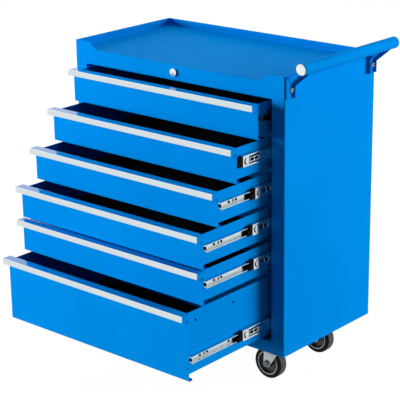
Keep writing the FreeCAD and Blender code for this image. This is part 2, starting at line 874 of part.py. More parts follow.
def caster_plate(x, y):
    """A caster's top plate with its four bolt holes."""
    plate = box(
        (x - plate_width / 2, x + plate_width / 2),
        (y - plate_depth / 2, y + plate_depth / 2),
        (-plate_thickness, 0),
    )
    for bolt_x, bolt_y in bolt_places(x, y):
        start = (bolt_x, bolt_y, -plate_thickness - 1)
        plate = plate.cut(rod(bolt_radius + bolt_clearance, start, (bolt_x, bolt_y, 1)))
    return plate


def fork_legs(axle_x, y, left, right, top):
    """The two cheeks of a fork, from their top edge down to the axle."""
    legs = []
    for side in (-1, 1):
        start = y + side * fork_gap
        end = y + side * (fork_gap + fork_sheet)
        outline = tangent_outline(axle_x, left, right, top)
        foot = rod(fork_end_radius, (axle_x, start, axle_z), (axle_x, end, axle_z))
        leg = prism("xz", outline, start, end).fuse(foot)
        through = (y - 2 * fork_gap, y + 2 * fork_gap)
        hole = rod(axle_radius + axle_fit, (axle_x, through[0], axle_z), (axle_x, through[1], axle_z))
        legs.append(leg.cut(hole).removeSplitter())
    return legs


def tangent_outline(axle_x, left, right, top):
    """A cheek's outline: its top edge, and the two lines that run on to its round end."""
    outline = [(left, top), (right, top)]
    for x, side in ((right, 1), (left, -1)):
        away_x = x - axle_x
        away_z = top - axle_z
        distance = math.hypot(away_x, away_z)
        angle = math.atan2(away_z, away_x) - side * math.acos(fork_end_radius / distance)
        touch_x = axle_x + fork_end_radius * math.cos(angle)
        outline.append((touch_x, axle_z + fork_end_radius * math.sin(angle)))
    return outline


def rigid_frames():
    """The two fixed casters' frames on the left: plate and cheeks in one."""
    frames = []
    for x, y in caster_places()[:2]:
        legs = fork_legs(x, y, x - rigid_leg_half_width, x + rigid_leg_half_width, -plate_thickness / 2)
        frames.append(join([caster_plate(x, y)] + legs))
    return frames


def swivel_plates():
    """The two swivel casters' plates on the right, with ball race and riveted king pin."""
    plates = []
    for x, y in caster_places()[2:]:
        race_low = -plate_thickness - race_height
        crown_low = race_low - race_clearance - fork_sheet
        race = rod(race_radius, (x, y, race_low), (x, y, -plate_thickness / 2))
        pin = rod(king_pin_radius, (x, y, crown_low - race_clearance - king_pin_head), (x, y, race_low))
        head_high = crown_low - race_clearance
        head = rod(king_pin_head_radius, (x, y, head_high - king_pin_head), (x, y, head_high))
        plates.append(join([caster_plate(x, y), race, pin, head]))
    return plates


def swivel_fork(x, y):
    """A swivel fork: crown round the king pin and two cheeks that trail to the left."""
    high = -plate_thickness - race_height - race_clearance
    low = high - fork_sheet
    half = fork_gap + fork_sheet
    crown = box((x - crown_front, x + crown_back), (y - half, y + half), (low, high))
    disc = rod(crown_radius, (x, y, low), (x, y, high))
    legs = fork_legs(x - trail, y, x - crown_front, x + crown_back, high)
    fork = join([crown, disc] + legs)
    return fork.cut(rod(king_pin_radius + king_pin_fit, (x, y, low - 1), (x, y, high + 1)))


def axle_set(x, y):
    """An axle bolt through fork and hub, and its nut."""
    cheek = fork_gap + fork_sheet
    bolt = rod(axle_radius, (x, y - cheek, axle_z), (x, y + cheek + nut_height + sheet, axle_z))
    head = hexagon(bolt_head_flats, (x, y - cheek, axle_z), (0, -1, 0), bolt_head_height)
    nut = hexagon(bolt_head_flats, (x, y + cheek, axle_z), (0, 1, 0), nut_height)
    nut = nut.cut(rod(axle_radius, (x, y, axle_z), (x, y + 2 * cheek, axle_z)))
    return [bolt.fuse(head).removeSplitter(), nut]


def revolved(profile, x, y):
    """A wheel part from its profile of radius and width, turned about its axle."""
    points = [FreeCAD.Vector(x + radius, y + across, axle_z) for radius, across in profile]
    face = Part.Face(Part.makePolygon(points + points[:1]))
    return face.revolve(FreeCAD.Vector(x, y, axle_z), FreeCAD.Vector(0, 1, 0), 360)


def hub(x, y):
    """A wheel's centre: boss on the axle, thin web and rim."""
    inside = rim_radius - rim_wall
    right = [
        (axle_radius + axle_fit, boss_half_width),
        (boss_radius, boss_half_width),
        (boss_radius, hub_web_half),
        (inside, hub_web_half),
        (inside + rim_wall / 2, rim_half_width),
        (rim_radius, rim_half_width),
    ]
    left = [(radius, -across) for radius, across in right[::-1]]
    return revolved(right + left, x, y)


def tyre(x, y):
    """A wheel's rubber tyre with rounded shoulders."""
    profile = [
        (rim_radius, tyre_half_width),
        (wheel_radius, tyre_half_width),
        (wheel_radius, -tyre_half_width),
        (rim_radius, -tyre_half_width),
    ]
    ring = revolved(profile, x, y)
    shoulders = []
    for edge in [edge for edge in ring.Edges if edge.Closed]:
        start = edge.Vertexes[0]
        beside = abs(abs(start.Y - y) - tyre_half_width)
        if abs(start.X - x - wheel_radius) + beside < 1e-6:
            shoulders.append(edge)
    return ring.makeFillet(tyre_corner, shoulders)


def mounting_bolts():
    """The bolts and nuts that hold the casters and the handle brackets."""
    pieces = []
    for x, y in caster_places():
        for bolt_x, bolt_y in bolt_places(x, y):
            under = (bolt_x, bolt_y, -plate_thickness)
            shank = rod(bolt_radius, under, (bolt_x, bolt_y, sheet + nut_height + sheet))
            head = hexagon(bolt_head_flats, under, (0, 0, -1), bolt_head_height)
            nut = hexagon(bolt_head_flats, (bolt_x, bolt_y, sheet), (0, 0, 1), nut_height)
            nut = nut.cut(rod(bolt_radius, (bolt_x, bolt_y, 0), (bolt_x, bolt_y, 2 * nut_height)))
            pieces += [shank.fuse(head).removeSplitter(), nut]
    for front in bracket_fronts():
        y = front + bracket_bolt_offset
        z = body_height - bracket_bolt_below_top
        outside = body_width + bracket_sheet
        inside = body_width - sheet
        shank = rod(bolt_radius, (inside - nut_height - sheet, y, z), (outside, y, z))
        head = rod(bolt_head_round, (outside, y, z), (outside + bolt_head_height, y, z))
        outer_edges = [edge for edge in head.Edges if edge.BoundBox.XMin > outside + 1]
        head = head.makeFillet(bolt_head_height / 2, outer_edges)
        nut = hexagon(bolt_head_flats, (inside, y, z), (-1, 0, 0), nut_height)
        nut = nut.cut(rod(bolt_radius, (inside - 2 * nut_height, y, z), (inside, y, z)))
        pieces += [shank.fuse(head).removeSplitter(), nut]
    return pieces


def write(node, solids):
    """Save one node in the cabinet's own frame."""
    whole = solids[0] if len(solids) == 1 else Part.makeCompound(solids)
    whole = moved(whole, -origin.x, -origin.y, -origin.z)
    whole.exportStep("parts/" + node + ".step")
    volume = sum(solid.Volume for solid in whole.Solids)
    state = "valid" if whole.isValid() else "INVALID"
    print(node, len(whole.Solids), "solids", round(volume), "mm3", state)


os.makedirs("parts", exist_ok=True)

# Body, slides' fixed parts and lock
left_side = side_panel()
right_side = mirrored(left_side)
for bracket_front in bracket_fronts():
    right_side = right_side.cut(bracket_bolt_hole(bracket_front))
write("side_panel_left", [left_side])
write("side_panel_right", [right_side])
write("back_panel", [back_panel()])
write("base_panel", [base_panel([left_side, right_side])])
write("front_header", [front_header()])
write("tray_pan", [tray_pan([left_side, right_side])])
write("slide_posts", slide_posts())
write("outer_slides", outer_slides())
write("lock_housing", lock_housing())
write("lock_core", [lock_core()])
write("lock_bar", [lock_bar()])

# Handle and fasteners
write("handle_tube", [handle_tube()])
write("handle_brackets", handle_brackets())
write("handle_end_caps", end_caps())
write("mounting_bolts", mounting_bolts())

# Casters
left_casters = caster_places()[:2]
right_casters = caster_places()[2:]
write("rigid_caster_frames", rigid_frames())
write("rigid_caster_axles", [piece for x, y in left_casters for piece in axle_set(x, y)])
write("swivel_caster_plates", swivel_plates())
for end_name, (caster_x, caster_y) in zip(("front", "rear"), left_casters):
    write("left_" + end_name + "_hub", [hub(caster_x, caster_y)])
    write("left_" + end_name + "_tyre", [tyre(caster_x, caster_y)])
for end_name, (caster_x, caster_y) in zip(("front", "rear"), right_casters):
    write("right_" + end_name + "_fork", [swivel_fork(caster_x, caster_y)])
    write("right_" + end_name + "_axle", axle_set(caster_x - trail, caster_y))
    write("right_" + end_name + "_hub", [hub(caster_x - trail, caster_y)])
    write("right_" + end_name + "_tyre", [tyre(caster_x - trail, caster_y)])

# Drawers, each drawn closed and then pulled out as far as it stands open
for number, (front_top, front_bottom) in enumerate(front_levels):
    name = "drawer_" + str(number + 1)
    is_deep = number == shallow_drawers
    rise = deep_floor_rise if is_deep else shallow_floor_rise
    slide_level = front_bottom + slide_height_above_front
    out = -drawer_open[number]
    closed_box = drawer_box(front_top, front_bottom, rise, is_deep)
    closed_front = drawer_front(front_top, front_bottom)
    write(name + "_box", [moved(piece, y=out) for piece in (closed_box, closed_front)])
    write(name + "_pull", [moved(drawer_pull(front_top), y=out)])
    write(name + "_liner", [moved(drawer_liner(front_bottom, rise), y=out)])
    write(name + "_inner_slides", [moved(piece, y=out) for piece in inner_slides(slide_level)])
    runners = mid_slides(slide_level)
    write(name + "_mid_slides", [moved(piece, y=-runner_open[number]) for piece in runners])
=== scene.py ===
import bmesh
import bpy
import json
import math
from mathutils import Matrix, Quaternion, Vector


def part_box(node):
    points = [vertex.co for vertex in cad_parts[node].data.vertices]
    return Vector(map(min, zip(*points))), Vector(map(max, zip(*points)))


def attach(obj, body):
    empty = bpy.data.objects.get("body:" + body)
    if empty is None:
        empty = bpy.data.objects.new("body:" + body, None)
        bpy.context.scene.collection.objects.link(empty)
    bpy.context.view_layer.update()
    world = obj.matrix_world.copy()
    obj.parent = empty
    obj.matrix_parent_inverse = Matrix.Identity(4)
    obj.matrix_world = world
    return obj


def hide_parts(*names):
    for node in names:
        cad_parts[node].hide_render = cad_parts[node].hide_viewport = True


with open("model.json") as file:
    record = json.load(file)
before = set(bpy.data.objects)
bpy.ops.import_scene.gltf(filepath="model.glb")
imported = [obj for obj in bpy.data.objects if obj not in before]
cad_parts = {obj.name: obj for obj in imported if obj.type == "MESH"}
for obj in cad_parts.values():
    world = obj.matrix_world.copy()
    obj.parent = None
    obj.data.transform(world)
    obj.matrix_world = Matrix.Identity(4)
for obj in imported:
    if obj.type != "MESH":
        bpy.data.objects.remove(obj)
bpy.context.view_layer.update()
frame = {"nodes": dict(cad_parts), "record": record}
bpy.ops.object.select_all(action="DESELECT")

# Camera. The photograph was taken from in front and to the right, a little above the
# cabinet, with a long lens, and the picture leans over by less than a degree.
PHOTO_SIZE = 400
FOCAL_PIXELS = 1446.67
SENSOR_WIDTH = 36.0
VIEW_AZIMUTH = math.radians(41.219)
VIEW_ELEVATION = math.radians(18.301)
VIEW_ROLL = math.radians(-0.802)
VIEW_DISTANCE = 3.2272
VIEW_END = 50
LOOK_AT = Vector((0.04046, -0.02225, 0.4135))

towards_camera = Vector(
    (
        math.sin(VIEW_AZIMUTH) * math.cos(VIEW_ELEVATION),
        -math.cos(VIEW_AZIMUTH) * math.cos(VIEW_ELEVATION),
        math.sin(VIEW_ELEVATION),
    )
)
bpy.ops.object.camera_add(location=LOOK_AT + towards_camera * VIEW_DISTANCE)
camera = bpy.context.object
camera.name = "photo_camera"
turn = towards_camera.to_track_quat("Z", "Y") @ Quaternion((0, 0, 1), VIEW_ROLL)
camera.rotation_euler = turn.to_euler()
camera.data.lens = FOCAL_PIXELS * SENSOR_WIDTH / PHOTO_SIZE
camera.data.sensor_width = SENSOR_WIDTH
camera.data.clip_end = VIEW_END
bpy.context.scene.camera = camera
bpy.context.scene.view_settings.view_transform = "Standard"

# Studio. Soft boxes stand to the left and, farther back, to the right, so the pillars beside
# the open drawers stay dark as in the photograph, with weaker ones above and behind. Bright
# metal mirrors the white studio and not the boxes.
SOFT_BOXES = (
    ("left", (-4.84, -4.06, 1.0), 3.2, 745.0),
    ("right", (3.17, 2.85, 1.0), 2.6, 268.0),
    ("top", (-0.3, 0.6, 3.4), 1.6, 32.0),
    ("back", (-3.6, 1.9, 2.6), 1.8, 40.0),
)
AMBIENT_STRENGTH = 0.06
FLOOR_SIZE = 14.0
FLOOR_GLOW = 0.97
FLOOR_SHADOW_GREY = 0.06
FLOOR_BOUNCE_GREY = 0.25
WHITE = (1, 1, 1, 1)


def seen_directly(tree):
    """One where a ray comes from the camera, a mirror or glass, and zero for soft light."""
    path = tree.nodes.new("ShaderNodeLightPath")
    value = path.outputs["Is Camera Ray"]
    for name in ("Is Glossy Ray", "Is Transmission Ray"):
        largest = tree.nodes.new("ShaderNodeMath")
        largest.operation = "MAXIMUM"
        tree.links.new(value, largest.inputs[0])
        tree.links.new(path.outputs[name], largest.inputs[1])
        value = largest.outputs["Value"]
    return value


def mix_by_sight(tree, unseen, seen, output):
    """Use one shader for soft light and another for what camera and mirrors see."""
    mix = tree.nodes.new("ShaderNodeMixShader")
    tree.links.new(seen_directly(tree), mix.inputs["Fac"])
    tree.links.new(unseen, mix.inputs[1])
    tree.links.new(seen, mix.inputs[2])
    tree.links.new(mix.outputs["Shader"], output.inputs["Surface"])


for box_name, box_place, box_size, box_power in SOFT_BOXES:
    bpy.ops.object.light_add(type="AREA", location=box_place)
    lamp = bpy.context.object
    lamp.name = "soft_box_" + box_name
    lamp.data.size = box_size
    lamp.data.energy = box_power
    lamp.visible_glossy = False
    lamp.rotation_euler = (Vector(box_place) - LOOK_AT).to_track_quat("Z", "Y").to_euler()

studio = bpy.data.worlds.new("white_studio")
studio.use_nodes = True
soft_white = studio.node_tree.nodes["Background"]
soft_white.inputs["Color"].default_value = WHITE
soft_white.inputs["Strength"].default_value = AMBIENT_STRENGTH
seen_white = studio.node_tree.nodes.new("ShaderNodeBackground")
seen_white.inputs["Color"].default_value = WHITE
mix_by_sight(
    studio.node_tree,
    soft_white.outputs["Background"],
    seen_white.outputs["Background"],
    studio.node_tree.nodes["World Output"],
)
bpy.context.scene.world = studio

bpy.ops.mesh.primitive_plane_add(size=FLOOR_SIZE)
floor = bpy.context.object
floor.name = "floor"
paper = bpy.data.materials.new("floor_paper")
paper.use_nodes = True
paper_nodes = paper.node_tree.nodes
paper_nodes.remove(paper_nodes["Principled BSDF"])
bounce = paper_nodes.new("ShaderNodeBsdfDiffuse")
bounce.inputs["Color"].default_value = (*[FLOOR_BOUNCE_GREY] * 3, 1)
shaded = paper_nodes.new("ShaderNodeBsdfDiffuse")
shaded.inputs["Color"].default_value = (*[FLOOR_SHADOW_GREY] * 3, 1)
glow = paper_nodes.new("ShaderNodeEmission")
glow.inputs["Strength"].default_value = FLOOR_GLOW
together = paper_nodes.new("ShaderNodeAddShader")
paper.node_tree.links.new(shaded.outputs["BSDF"], together.inputs[0])
paper.node_tree.links.new(glow.outputs["Emission"], together.inputs[1])
mix_by_sight(
    paper.node_tree,
    bounce.outputs["BSDF"],
    together.outputs["Shader"],
    paper_nodes["Material Output"],
)
floor.data.materials.append(paper)
floor.select_set(False)

# Body and drawers. Folded sheet steel, spot welded and powder coated in a deep sky blue: a
# smooth, even coat with the faint orange peel that the powder leaves when it melts.
COAT_BLUE = (0.0, 0.252, 0.745)
COAT_BLUE_THIN = (0.0, 0.234, 0.70)
COAT_ROUGHNESS = (0.34, 0.42)
COAT_SHINE = 0.002
COAT_SHINE_TINT = (0.0, 0.5, 1.0, 1)
ORANGE_PEEL = 0.00006
CLOUD_SCALE = 5.0
SHEEN_SCALE = 14.0
PEEL_SCALE = 420.0
TONE_LIMITS = (0.35, 0.65)
DULLNESS_LIMITS = (0.3, 0.7)
STEEL_NODES = [
    part["node"] for part in frame["record"]["subparts"] if part["material_slot"] == "blue_paint"
]


def finish(name, colour, roughness, metallic=0.0):
    """A new material and its shader, with the plain numbers of the finish on the shader."""
    material = bpy.data.materials.new(name)
    material.use_nodes = True
    shader = material.node_tree.nodes["Principled BSDF"]
    shader.inputs["Base Color"].default_value = (*colour, 1)
    shader.inputs["Roughness"].default_value = roughness
    shader.inputs["Metallic"].default_value = metallic
    return material, shader


def pattern(material, scale, stretch=(1, 1, 1), detail=2.0):
    """Noise fixed to the piece, stretched where the finish has a direction."""
    nodes = material.node_tree.nodes
    links = material.node_tree.links
    where = nodes.new("ShaderNodeTexCoord")
    mapping = nodes.new("ShaderNodeMapping")
    mapping.inputs["Scale"].default_value = stretch
    noise = nodes.new("ShaderNodeTexNoise")
    noise.inputs["Scale"].default_value = scale
    noise.inputs["Detail"].default_value = detail
    links.new(where.outputs["Object"], mapping.inputs["Vector"])
    links.new(mapping.outputs["Vector"], noise.inputs["Vector"])
    return noise.outputs["Fac"]


def vary_colour(material, shader, source, low, high):
    """Blend the base colour between two tones by a pattern."""
    ramp = material.node_tree.nodes.new("ShaderNodeValToRGB")
    for stop, place, tone in zip(ramp.color_ramp.elements, TONE_LIMITS, (low, high)):
        stop.position = place
        stop.color = (*tone, 1)
    material.node_tree.links.new(source, ramp.inputs["Fac"])
    material.node_tree.links.new(ramp.outputs["Color"], shader.inputs["Base Color"])


def vary_roughness(material, shader, source, limits):
    """Let a pattern make the surface a little duller in places."""
    spread = material.node_tree.nodes.new("ShaderNodeMapRange")
    ends = ("From Min", "From Max", "To Min", "To Max")
    for end, value in zip(ends, (*DULLNESS_LIMITS, *limits)):
        spread.inputs[end].default_value = value
    material.node_tree.links.new(source, spread.inputs["Value"])
    material.node_tree.links.new(spread.outputs["Result"], shader.inputs["Roughness"])


def emboss(material, shader, source, height):
    """Raise the surface by a pattern, by so many metres at most."""
    bump = material.node_tree.nodes.new("ShaderNodeBump")
    bump.inputs["Distance"].default_value = height
    material.node_tree.links.new(source, bump.inputs["Height"])
    material.node_tree.links.new(bump.outputs["Normal"], shader.inputs["Normal"])


def dress(material, nodes):
    """Give CAD nodes their finish."""
    for name in nodes:
        for material_slot in frame["nodes"][name].material_slots:
            material_slot.material = material


blue_coat, coat_shader = finish("blue_powder_coat", COAT_BLUE, COAT_ROUGHNESS[0])
coat_shader.inputs["Specular IOR Level"].default_value = COAT_SHINE
coat_shader.inputs["Specular Tint"].default_value = COAT_SHINE_TINT
vary_colour(
    blue_coat, coat_shader, pattern(blue_coat, scale=CLOUD_SCALE), COAT_BLUE_THIN, COAT_BLUE
)
vary_roughness(blue_coat, coat_shader, pattern(blue_coat, scale=SHEEN_SCALE), COAT_ROUGHNESS)
emboss(blue_coat, coat_shader, pattern(blue_coat, scale=PEEL_SCALE, detail=3.0), ORANGE_PEEL)
dress(blue_coat, STEEL_NODES)

# Drawer liners. A black rubber mat lies loose on each drawer's floor, moulded with fine ribs
# from side to side that keep the tools from sliding.
RIB_PITCH = 0.004
RIB_WIDTH = 0.0018
RIB_HEIGHT = 0.0004
MAT_BASE = 0.0006
MAT_BLACK = (0.008, 0.008, 0.009)
MAT_TONES = ((0.006, 0.006, 0.007), (0.012, 0.012, 0.013))
MAT_GRIT = 0.00005
MERGE_GAP = 0.0001
SHARP = math.radians(40)
DRAWERS = ["drawer_" + str(number) for number in range(1, 7)]


def pick(kind, test):
    """Select what passes a test of its middle and its direction, in edit mode."""
    bpy.ops.mesh.select_mode(type=kind)
    bpy.ops.mesh.select_all(action="DESELECT")
    shape = bmesh.from_edit_mesh(bpy.context.object.data)
    if kind == "FACE":
        for face in shape.faces:
            face.select_set(test(face.calc_center_median(), face.normal))
    else:
        for edge in shape.edges:
            ends = [end.co for end in edge.verts]
            edge.select_set(test((ends[0] + ends[1]) / 2, (ends[1] - ends[0]).normalized()))
    bmesh.update_edit_mesh(bpy.context.object.data)


def cut_across(axis, places):
    """Cut the whole piece across one axis at each place, in edit mode."""
    for place in places:
        point = Vector((0, 0, 0))
        normal = Vector((0, 0, 0))
        point[axis] = place
        normal[axis] = 1
        bpy.ops.mesh.select_all(action="SELECT")
        bpy.ops.mesh.bisect(plane_co=point, plane_no=normal)


def pull_out(x=0.0, y=0.0, z=0.0):
    """Extrude the selected faces."""
    bpy.ops.mesh.extrude_region_move(TRANSFORM_OT_translate={"value": (x, y, z)})


def block(name, low, high):
    """A cube between two corners, with its place in its mesh, open for shaping."""
    low = Vector(low)
    high = Vector(high)
    bpy.ops.mesh.primitive_cube_add(size=1, location=(low + high) / 2, scale=high - low)
    piece = bpy.context.object
    piece.name = name
    bpy.ops.object.transform_apply()
    bpy.ops.object.mode_set(mode="EDIT")
    return piece


def apply_modifier(piece, kind, **settings):
    """Add a modifier with its settings and apply it."""
    bpy.context.view_layer.objects.active = piece
    modifier = piece.modifiers.new(kind.lower(), kind)
    for name, value in settings.items():
        setattr(modifier, name, value)
    bpy.ops.object.modifier_apply(modifier=modifier.name)


def break_edges(piece, width, segments=2):
    """Take the sharpness off the edges, and shade what is round as round."""
    bpy.ops.object.mode_set(mode="OBJECT")
    apply_modifier(
        piece, "BEVEL", width=width, segments=segments, limit_method="ANGLE", angle_limit=SHARP
    )
    bpy.ops.object.shade_smooth_by_angle(angle=SHARP)


def again(piece, name, move):
    """The same piece once more with a mesh of its own, moved."""
    bpy.ops.object.select_all(action="DESELECT")
    piece.select_set(True)
    bpy.context.view_layer.objects.active = piece
    bpy.ops.object.duplicate()
    twin = bpy.context.object
    twin.name = name
    bpy.ops.transform.translate(value=move)
    bpy.ops.object.transform_apply()
    return twin


def hand_over(piece, material, body, replaced=()):
    """Give a finished piece its material and its body, and hide the CAD nodes that it stands for.
    """
    if not piece.data.materials:
        piece.data.materials.append(material)
    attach(piece, body)
    if replaced:
        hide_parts(*replaced)
    bpy.ops.object.select_all(action="DESELECT")


def in_every_drawer(first, node, kind, material, body, replaces=True):
    """Copy the top drawer's finished piece to the others, each set by its CAD node."""
    start = Vector(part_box(DRAWERS[0] + node)[0])
    pieces = [first]
    for drawer in DRAWERS[1:]:
        move = Vector(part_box(drawer + node)[0]) - start
        pieces.append(again(first, drawer + kind, move))
    for drawer, piece in zip(DRAWERS, pieces):
        hand_over(piece, material, drawer + body, [drawer + node] if replaces else ())


mat_rubber, mat_shader = finish("liner_rubber", MAT_BLACK, roughness=0.75)
mat_shader.inputs["Specular IOR Level"].default_value = 0.2
vary_colour(mat_rubber, mat_shader, pattern(mat_rubber, scale=30.0), *MAT_TONES)
emboss(mat_rubber, mat_shader, pattern(mat_rubber, scale=900.0), MAT_GRIT)

mat_low, mat_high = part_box("drawer_1_liner")
rib_count = int((mat_high[1] - mat_low[1]) / RIB_PITCH)
rib_pitch = (mat_high[1] - mat_low[1]) / rib_count
mat_width = mat_high[0] - mat_low[0]
mat_middle = (mat_low[0] + mat_high[0]) / 2
bpy.ops.mesh.primitive_plane_add(
    size=1, location=(mat_middle, mat_low[1] + rib_pitch / 2, mat_low[2] + MAT_BASE)
)
mat = bpy.context.object
mat.name = "drawer_1_ribbed_mat"
mat.scale = (mat_width, rib_pitch, 1)
bpy.ops.object.transform_apply()
bpy.ops.object.mode_set(mode="EDIT")
rib_start = mat_low[1] + (rib_pitch - RIB_WIDTH) / 2
cut_across(1, (rib_start, rib_start + RIB_WIDTH))
pick("FACE", lambda middle, normal: rib_start < middle.y < rib_start + RIB_WIDTH)
pull_out(z=RIB_HEIGHT)
bpy.ops.object.mode_set(mode="OBJECT")
apply_modifier(
    mat,
    "ARRAY",
    count=rib_count,
    use_relative_offset=False,
    use_constant_offset=True,
    constant_offset_displace=(0, rib_pitch, 0),
    use_merge_vertices=True,
    merge_threshold=MERGE_GAP,
)
apply_modifier(mat, "SOLIDIFY", thickness=MAT_BASE, offset=-1)
in_every_drawer(mat, "_liner", "_ribbed_mat", mat_rubber, "")

# Drawer pulls. One aluminium extrusion runs over the whole width of each front: a face to
# pull on, a flat top that hooks over the sheet's edge and a short lip behind it. The top and
# the sawn ends are coated blue with a gloss; the rounded front edge gets a near-white
# aluminium as a painted highlight.
PULL_WALL = 0.0014
PULL_FACE_HEIGHT = 0.013
PULL_LEG_HEIGHT = 0.003
PULL_REACH = 0.019
PULL_EDGE = 0.0002
PULL_FRONT_EDGE = 0.0012
ALUMINIUM = (0.65, 0.725, 0.75)
ALUMINIUM_TONES = ((0.62, 0.695, 0.72), (0.68, 0.755, 0.775))
HIGHLIGHT_ALUMINIUM = (0.93, 0.95, 0.96)
HIGHLIGHT_ALUMINIUM_TONES = ((0.90, 0.92, 0.93), (0.96, 0.98, 0.99))
DRAWN_ALONG_X = (0.25, 30, 30)
DIE_LINES = (0.1, 30, 30)
DIE_LINE_HEIGHT = 0.000002
STRAIGHT = 0.9
LEVEL = 0.99
SLOPED = 0.2
BARE, COATED, GLOSS, PAINTED_HIGHLIGHT_EDGE = range(4)


def paint_faces(piece, materials, choose):
    """Give a piece its materials, and each face the one that its middle and normal choose."""
    for material in materials:
        piece.data.materials.append(material)
    for face in piece.data.polygons:
        face.material_index = int(choose(face.center, face.normal))


bright_aluminium, pull_shader = finish("bright_aluminium", ALUMINIUM, roughness=0.12, metallic=1.0)
pull_grain = pattern(bright_aluminium, scale=40.0, stretch=DRAWN_ALONG_X)
die_lines = pattern(bright_aluminium, scale=90.0, stretch=DIE_LINES)
vary_roughness(bright_aluminium, pull_shader, pull_grain, limits=(0.09, 0.15))
vary_colour(bright_aluminium, pull_shader, pull_grain, *ALUMINIUM_TONES)
emboss(bright_aluminium, pull_shader, die_lines, DIE_LINE_HEIGHT)
gloss_coat, top_shader = finish("gloss_coat", COAT_BLUE, roughness=0.08)
vary_colour(
    gloss_coat, top_shader, pattern(gloss_coat, scale=CLOUD_SCALE), COAT_BLUE_THIN, COAT_BLUE
)
vary_roughness(gloss_coat, top_shader, pattern(gloss_coat, scale=SHEEN_SCALE), limits=(0.07, 0.12))
# A near-white aluminium for the rounded front edge: a painted highlight line.
painted_highlight_aluminium, edge_shader = finish(
    "painted_highlight_aluminium", HIGHLIGHT_ALUMINIUM, roughness=0.15, metallic=1.0
)
edge_grain = pattern(painted_highlight_aluminium, scale=40.0, stretch=DRAWN_ALONG_X)
vary_colour(painted_highlight_aluminium, edge_shader, edge_grain, *HIGHLIGHT_ALUMINIUM_TONES)

pull_low, pull_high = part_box("drawer_1_pull")
front_face = pull_low[1] + PULL_REACH
top_low = (pull_low[0], pull_low[1], pull_high[2] - PULL_WALL)
pull = block("drawer_1_extruded_pull", top_low, pull_high)
cut_across(1, (pull_low[1] + PULL_WALL, front_face - PULL_WALL, front_face))
pick("FACE", lambda middle, normal: normal.z < -STRAIGHT and middle.y < pull_low[1] + PULL_WALL)
pull_out(z=PULL_WALL - PULL_FACE_HEIGHT)
pick(
    "FACE",
    lambda middle, normal: normal.z < -STRAIGHT
    and front_face - PULL_WALL < middle.y < front_face,
)
pull_out(z=PULL_WALL - PULL_LEG_HEIGHT)
pick(
    "EDGE",
    lambda middle, along: abs(along.x) > STRAIGHT
    and middle.y < pull_low[1] + PULL_WALL / 2
    and middle.z > pull_high[2] - PULL_WALL / 2,
)
bpy.ops.mesh.bevel(offset=PULL_FRONT_EDGE, segments=4)
break_edges(pull, PULL_EDGE, segments=3)


def pull_finish(middle, normal):
    """Gloss coat on top, painted highlight on the front edge, blue coat on ends, bare elsewhere."""
    if normal.z > LEVEL and middle.z > pull_high[2] - PULL_WALL / 2:
        return GLOSS
    if normal.z > SLOPED and normal.y < -SLOPED and middle.z > pull_high[2] - PULL_WALL:
        return PAINTED_HIGHLIGHT_EDGE
    return COATED if abs(normal.x) > SLOPED else BARE


pull_materials = (bright_aluminium, blue_coat, gloss_coat, painted_highlight_aluminium)
paint_faces(pull, pull_materials, pull_finish)
in_every_drawer(pull, "_pull", "_extruded_pull", bright_aluminium, "")

# Pull ends. A small tab of steel, folded from the drawer's front and coated with it, closes the
# hollow of the pull at each end.
TAB_SHEET = 0.0010
TAB_CORNER = 0.0015
TAB_EDGE = 0.0001


def join_all(pieces, name):
    """Make several pieces one."""
    bpy.ops.object.select_all(action="DESELECT")
    for piece in pieces:
        piece.select_set(True)
    bpy.context.view_layer.objects.active = pieces[0]
    bpy.ops.object.join()
    pieces[0].name = name
    return pieces[0]


ends = []
for end_x in (pull_low[0], pull_high[0] - TAB_SHEET):
    end = block(
        "pull_end",
        (end_x, pull_low[1] + PULL_WALL, pull_high[2] - PULL_FACE_HEIGHT),
        (end_x + TAB_SHEET, front_face, pull_high[2] - PULL_WALL),
    )
    pick(
        "EDGE",
        lambda middle, along: abs(along.x) > STRAIGHT
        and middle.z < pull_high[2] - PULL_FACE_HEIGHT / 2,
    )
    bpy.ops.mesh.bevel(offset=TAB_CORNER, segments=4)
    break_edges(end, TAB_EDGE, segments=1)
    ends.append(end)
pull_ends = join_all(ends, "drawer_1_pull_ends")
in_every_drawer(pull_ends, "_pull", "_pull_ends", blue_coat, "", False)

# Ball slides, fixed parts. The outer members on the posts and the inner members on the
# drawers' sides are roll formed from bright zinc plated strip, with drawn lines lengthwise.
ZINC_LIGHT = (0.62, 0.70, 0.72)
ZINC_DARK = (0.54, 0.62, 0.64)
ZINC_ROUGHNESS = (0.10, 0.18)
DRAWN_ALONG_Y = (12, 0.5, 12)
ROLL_LINES = (15, 0.3, 15)
ROLL_LINE_HEIGHT = 0.000003

bright_zinc, zinc_shader = finish(
    "bright_zinc", ZINC_LIGHT, roughness=ZINC_ROUGHNESS[0], metallic=1.0
)
vary_colour(bright_zinc, zinc_shader, pattern(bright_zinc, scale=130.0), ZINC_DARK, ZINC_LIGHT)
zinc_grain = pattern(bright_zinc, scale=60.0, stretch=DRAWN_ALONG_Y)
vary_roughness(bright_zinc, zinc_shader, zinc_grain, ZINC_ROUGHNESS)
emboss(
    bright_zinc, zinc_shader, pattern(bright_zinc, scale=80.0, stretch=ROLL_LINES), ROLL_LINE_HEIGHT
)
inner_members = [drawer + "_inner_slides" for drawer in DRAWERS]
dress(bright_zinc, ["outer_slides", "lock_bar"] + inner_members)

